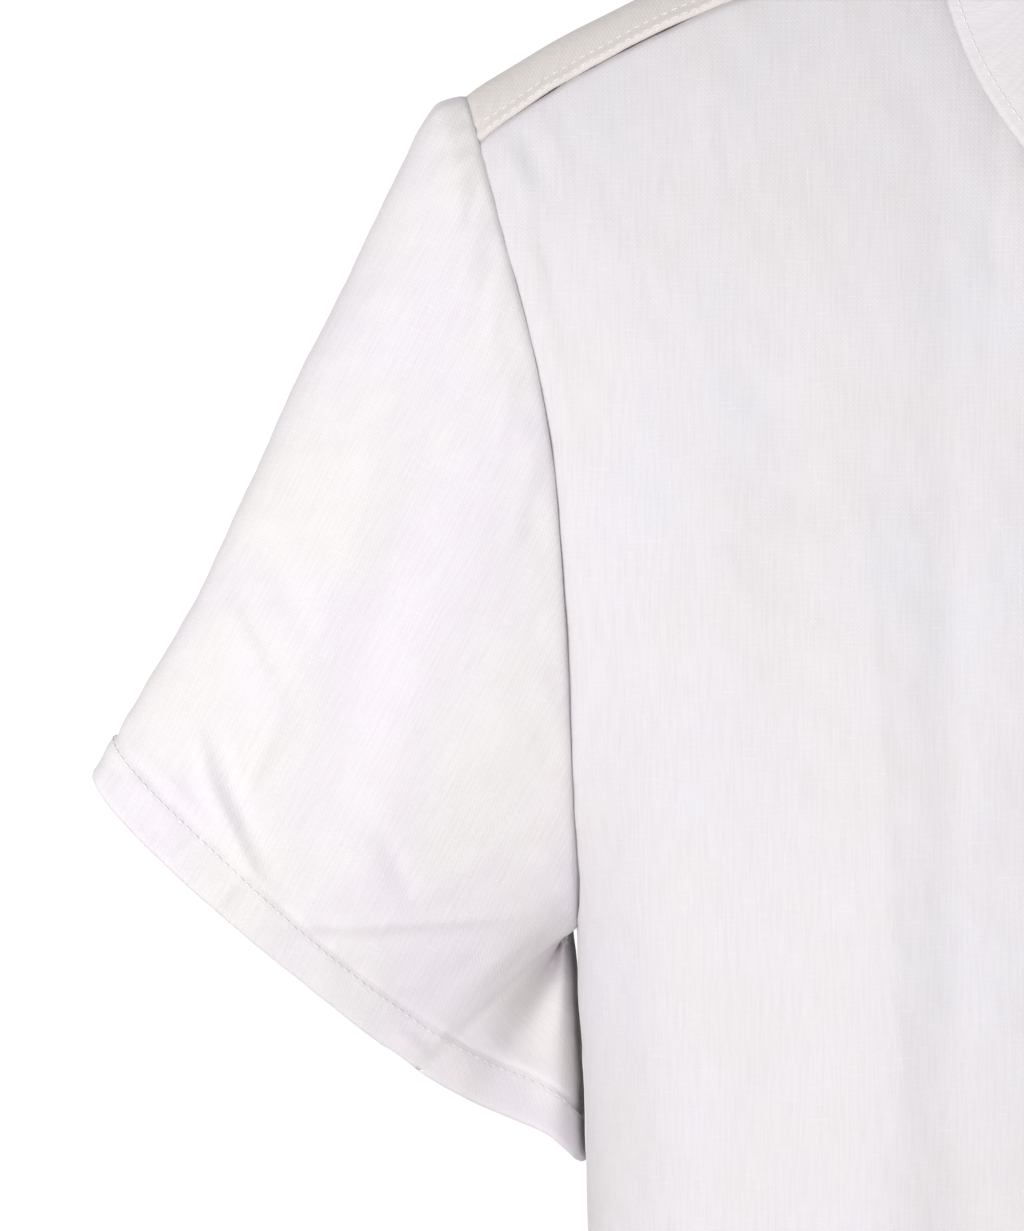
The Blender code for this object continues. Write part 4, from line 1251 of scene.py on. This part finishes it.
# A four-hole button with a rounded rim and a dished middle, its back at the origin
def buttonMesh():
    radius, thick = button["radius"], button["thick"]
    outline = [(0.0, 0.66), (0.30, 0.64), (0.52, 0.67), (0.62, 0.76), (0.70, 0.93), (0.78, 1.0), (0.88, 0.98),
               (0.96, 0.86), (1.0, 0.66), (0.97, 0.40), (0.88, 0.16), (0.72, 0.0), (0.0, 0.0)]
    mesh = bmesh.new()
    line = [mesh.verts.new((radius * out, 0.0, thick * up)) for out, up in outline]
    for first, second in zip(line, line[1:]):
        mesh.edges.new((first, second))
    bmesh.ops.spin(mesh, geom=mesh.verts[:] + mesh.edges[:], cent=(0, 0, 0), axis=(0, 0, 1),
                   angle=2.0 * math.pi, steps=48, use_merge=True)
    bmesh.ops.remove_doubles(mesh, verts=mesh.verts, dist=0.00001)
    bmesh.ops.recalc_face_normals(mesh, faces=mesh.faces)
    blank = objectOf("button_blank", mesh, buttonPlastic)
    drill = bmesh.new()
    for x in (-button["holePlace"], button["holePlace"]):
        for y in (-button["holePlace"], button["holePlace"]):
            made = bmesh.ops.create_cone(drill, cap_ends=True, segments=16, radius1=button["hole"],
                                         radius2=button["hole"], depth=thick * 3.0)
            bmesh.ops.translate(drill, verts=made["verts"], vec=(x, y, 0.0))
    cutter = objectOf("button_drill", drill, buttonPlastic)
    cut = blank.modifiers.new("holes", "BOOLEAN")
    cut.operation = "DIFFERENCE"
    cut.object = cutter
    bpy.context.view_layer.update()
    result = bpy.data.meshes.new_from_object(blank.evaluated_get(bpy.context.evaluated_depsgraph_get()))
    bpy.data.objects.remove(blank)
    bpy.data.objects.remove(cutter)
    return result


def sewOn(base, turn):
    normal = turn[2]
    top = base + normal * button["thick"] * buttonThread["top"]
    for sign in (-1.0, 1.0):
        along = np.array([button["holePlace"], button["holePlace"] * sign, 0.0]) @ turn
        for apart in (-buttonThread["apart"], buttonThread["apart"]):
            side = np.cross(normal, unit(along)) * apart
            addStitch(top + side + normal * buttonThread["lift"], along, normal,
                      button["holePlace"] * buttonThread["length"], buttonThread["radius"])


def makeButtonhole(base, turn):
    across, up, normal = turn
    ground = base + np.array([0.0, -buttonThread["lift"], 0.0])
    for i in range(buttonhole["stitches"]):
        along = up * buttonhole["length"] * (i / (buttonhole["stitches"] - 1.0) - 0.5)
        for sign in (-1.0, 1.0):
            side = across * buttonhole["half"] * 0.6 * sign
            addStitch(ground + along + side, across, normal, buttonhole["half"] * 1.1, buttonhole["radius"])


def makeButtons():
    blank = buttonMesh()
    corners = np.array([vertex.co[:] for vertex in blank.vertices])
    for k in range(button["count"] + 1):
        name = f"button_{k + 1}"
        onPlacket = k < button["count"]
        low, high = (np.array(corner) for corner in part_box(name))
        middle = (low + high) / 2.0
        if onPlacket:
            j = int(np.argmin(np.abs(placketLine[:, 2] - middle[2])))
            j = min(max(j, 1), len(placketLine) - 2)
            step = placketLine[j + 1] - placketLine[j - 1]
            normal = unit(np.array([0.0, -step[2], step[1]]))
        else:
            normal = unit(np.array([0.0, -1.0, collar["lean"] / collar["stand"]]))
        up = np.array([0.0, normal[2], -normal[1]])
        turn = np.array([np.cross(up, normal), up, normal])
        base = middle - normal * button["thick"] / 2.0
        item = bpy.data.objects.new(name + "_fine", blank.copy())
        item.data.vertices.foreach_set("co", (corners @ turn + base).ravel())
        item.data.shade_smooth()
        item.data.set_sharp_from_angle(angle=math.radians(38.0))
        bpy.context.collection.objects.link(item)
        setInFrame(item, name)
        sewOn(base, turn)
        if onPlacket:
            makeButtonhole(base, turn)


makeButtons()


def makeStitches():
    data = bpy.data.meshes.new("stitching")
    data.from_pydata(np.concatenate(stitchMeshes["points"]).tolist(), [], stitchMeshes["faces"])
    data.shade_smooth()
    data.materials.append(threadCotton)
    item = bpy.data.objects.new("stitching", data)
    bpy.context.collection.objects.link(item)
    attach(item, "root")


makeStitches()
print("buttons made,", len(stitchMeshes["points"]), "stitches")

# Floor, light and camera
studio = {
    "floorHeight": -0.90,
    "floorHalf": 2.2,
    "world": "#FFFFFF",
    "seenStrength": 1.05,
    "worldStrength": 0.56,
    "keyPower": 52.0,
    "keySize": 1.4,
    "keyPlace": Vector((-2.2, -2.4, -0.1)),
    "fillPower": 34.0,
    "fillSize": 1.4,
    "fillPlace": Vector((-0.1, -3.2, -1.2)),
    "aim": Vector((-0.2, 0.0, -0.28)),
}


# The floor is matt white paint
def makeStage():
    mesh = bmesh.new()
    bmesh.ops.create_grid(mesh, x_segments=1, y_segments=1, size=studio["floorHalf"])
    bmesh.ops.translate(mesh, verts=mesh.verts, vec=(0.0, 0.0, studio["floorHeight"]))
    objectOf("floor", mesh, plainMaterial("floor", "#EFEEED", 0.8))


def makeLights():
    world = bpy.data.worlds.new("studio")
    world.use_nodes = True
    background = world.node_tree.nodes["Background"]
    background.inputs["Color"].default_value = linear(studio["world"])
    paths = addNode(world.node_tree, "ShaderNodeLightPath")
    strength = addNode(world.node_tree, "ShaderNodeMapRange", None,
                       {"To Min": studio["worldStrength"], "To Max": studio["seenStrength"]},
                       {"Value": paths.outputs["Is Camera Ray"]})
    world.node_tree.links.new(strength.outputs[0], background.inputs["Strength"])
    bpy.context.scene.world = world
    for name in ("key", "fill"):
        lamp = bpy.data.lights.new(name, "AREA")
        lamp.shape = "DISK"
        lamp.size = studio[name + "Size"]
        lamp.energy = studio[name + "Power"]
        light = bpy.data.objects.new(name, lamp)
        light.location = studio[name + "Place"]
        light.rotation_euler = (studio["aim"] - studio[name + "Place"]).to_track_quat("-Z", "Y").to_euler()
        bpy.context.collection.objects.link(light)


def makeCamera():
    lens = bpy.data.cameras.new("camera")
    lens.sensor_width = 36.0
    lens.lens = lens.sensor_width * picture["distance"] / picture["height"]
    lens.clip_end = 50.0
    camera = bpy.data.objects.new("camera", lens)
    camera.location = (picture["middleX"], picture["depth"] - picture["distance"], picture["middleZ"])
    camera.rotation_euler = (math.pi / 2.0, 0.0, 0.0)
    bpy.context.collection.objects.link(camera)
    bpy.context.scene.camera = camera


makeStage()
makeLights()
makeCamera()
bpy.context.scene.view_settings.view_transform = "Standard"
print("stage, light and camera made")
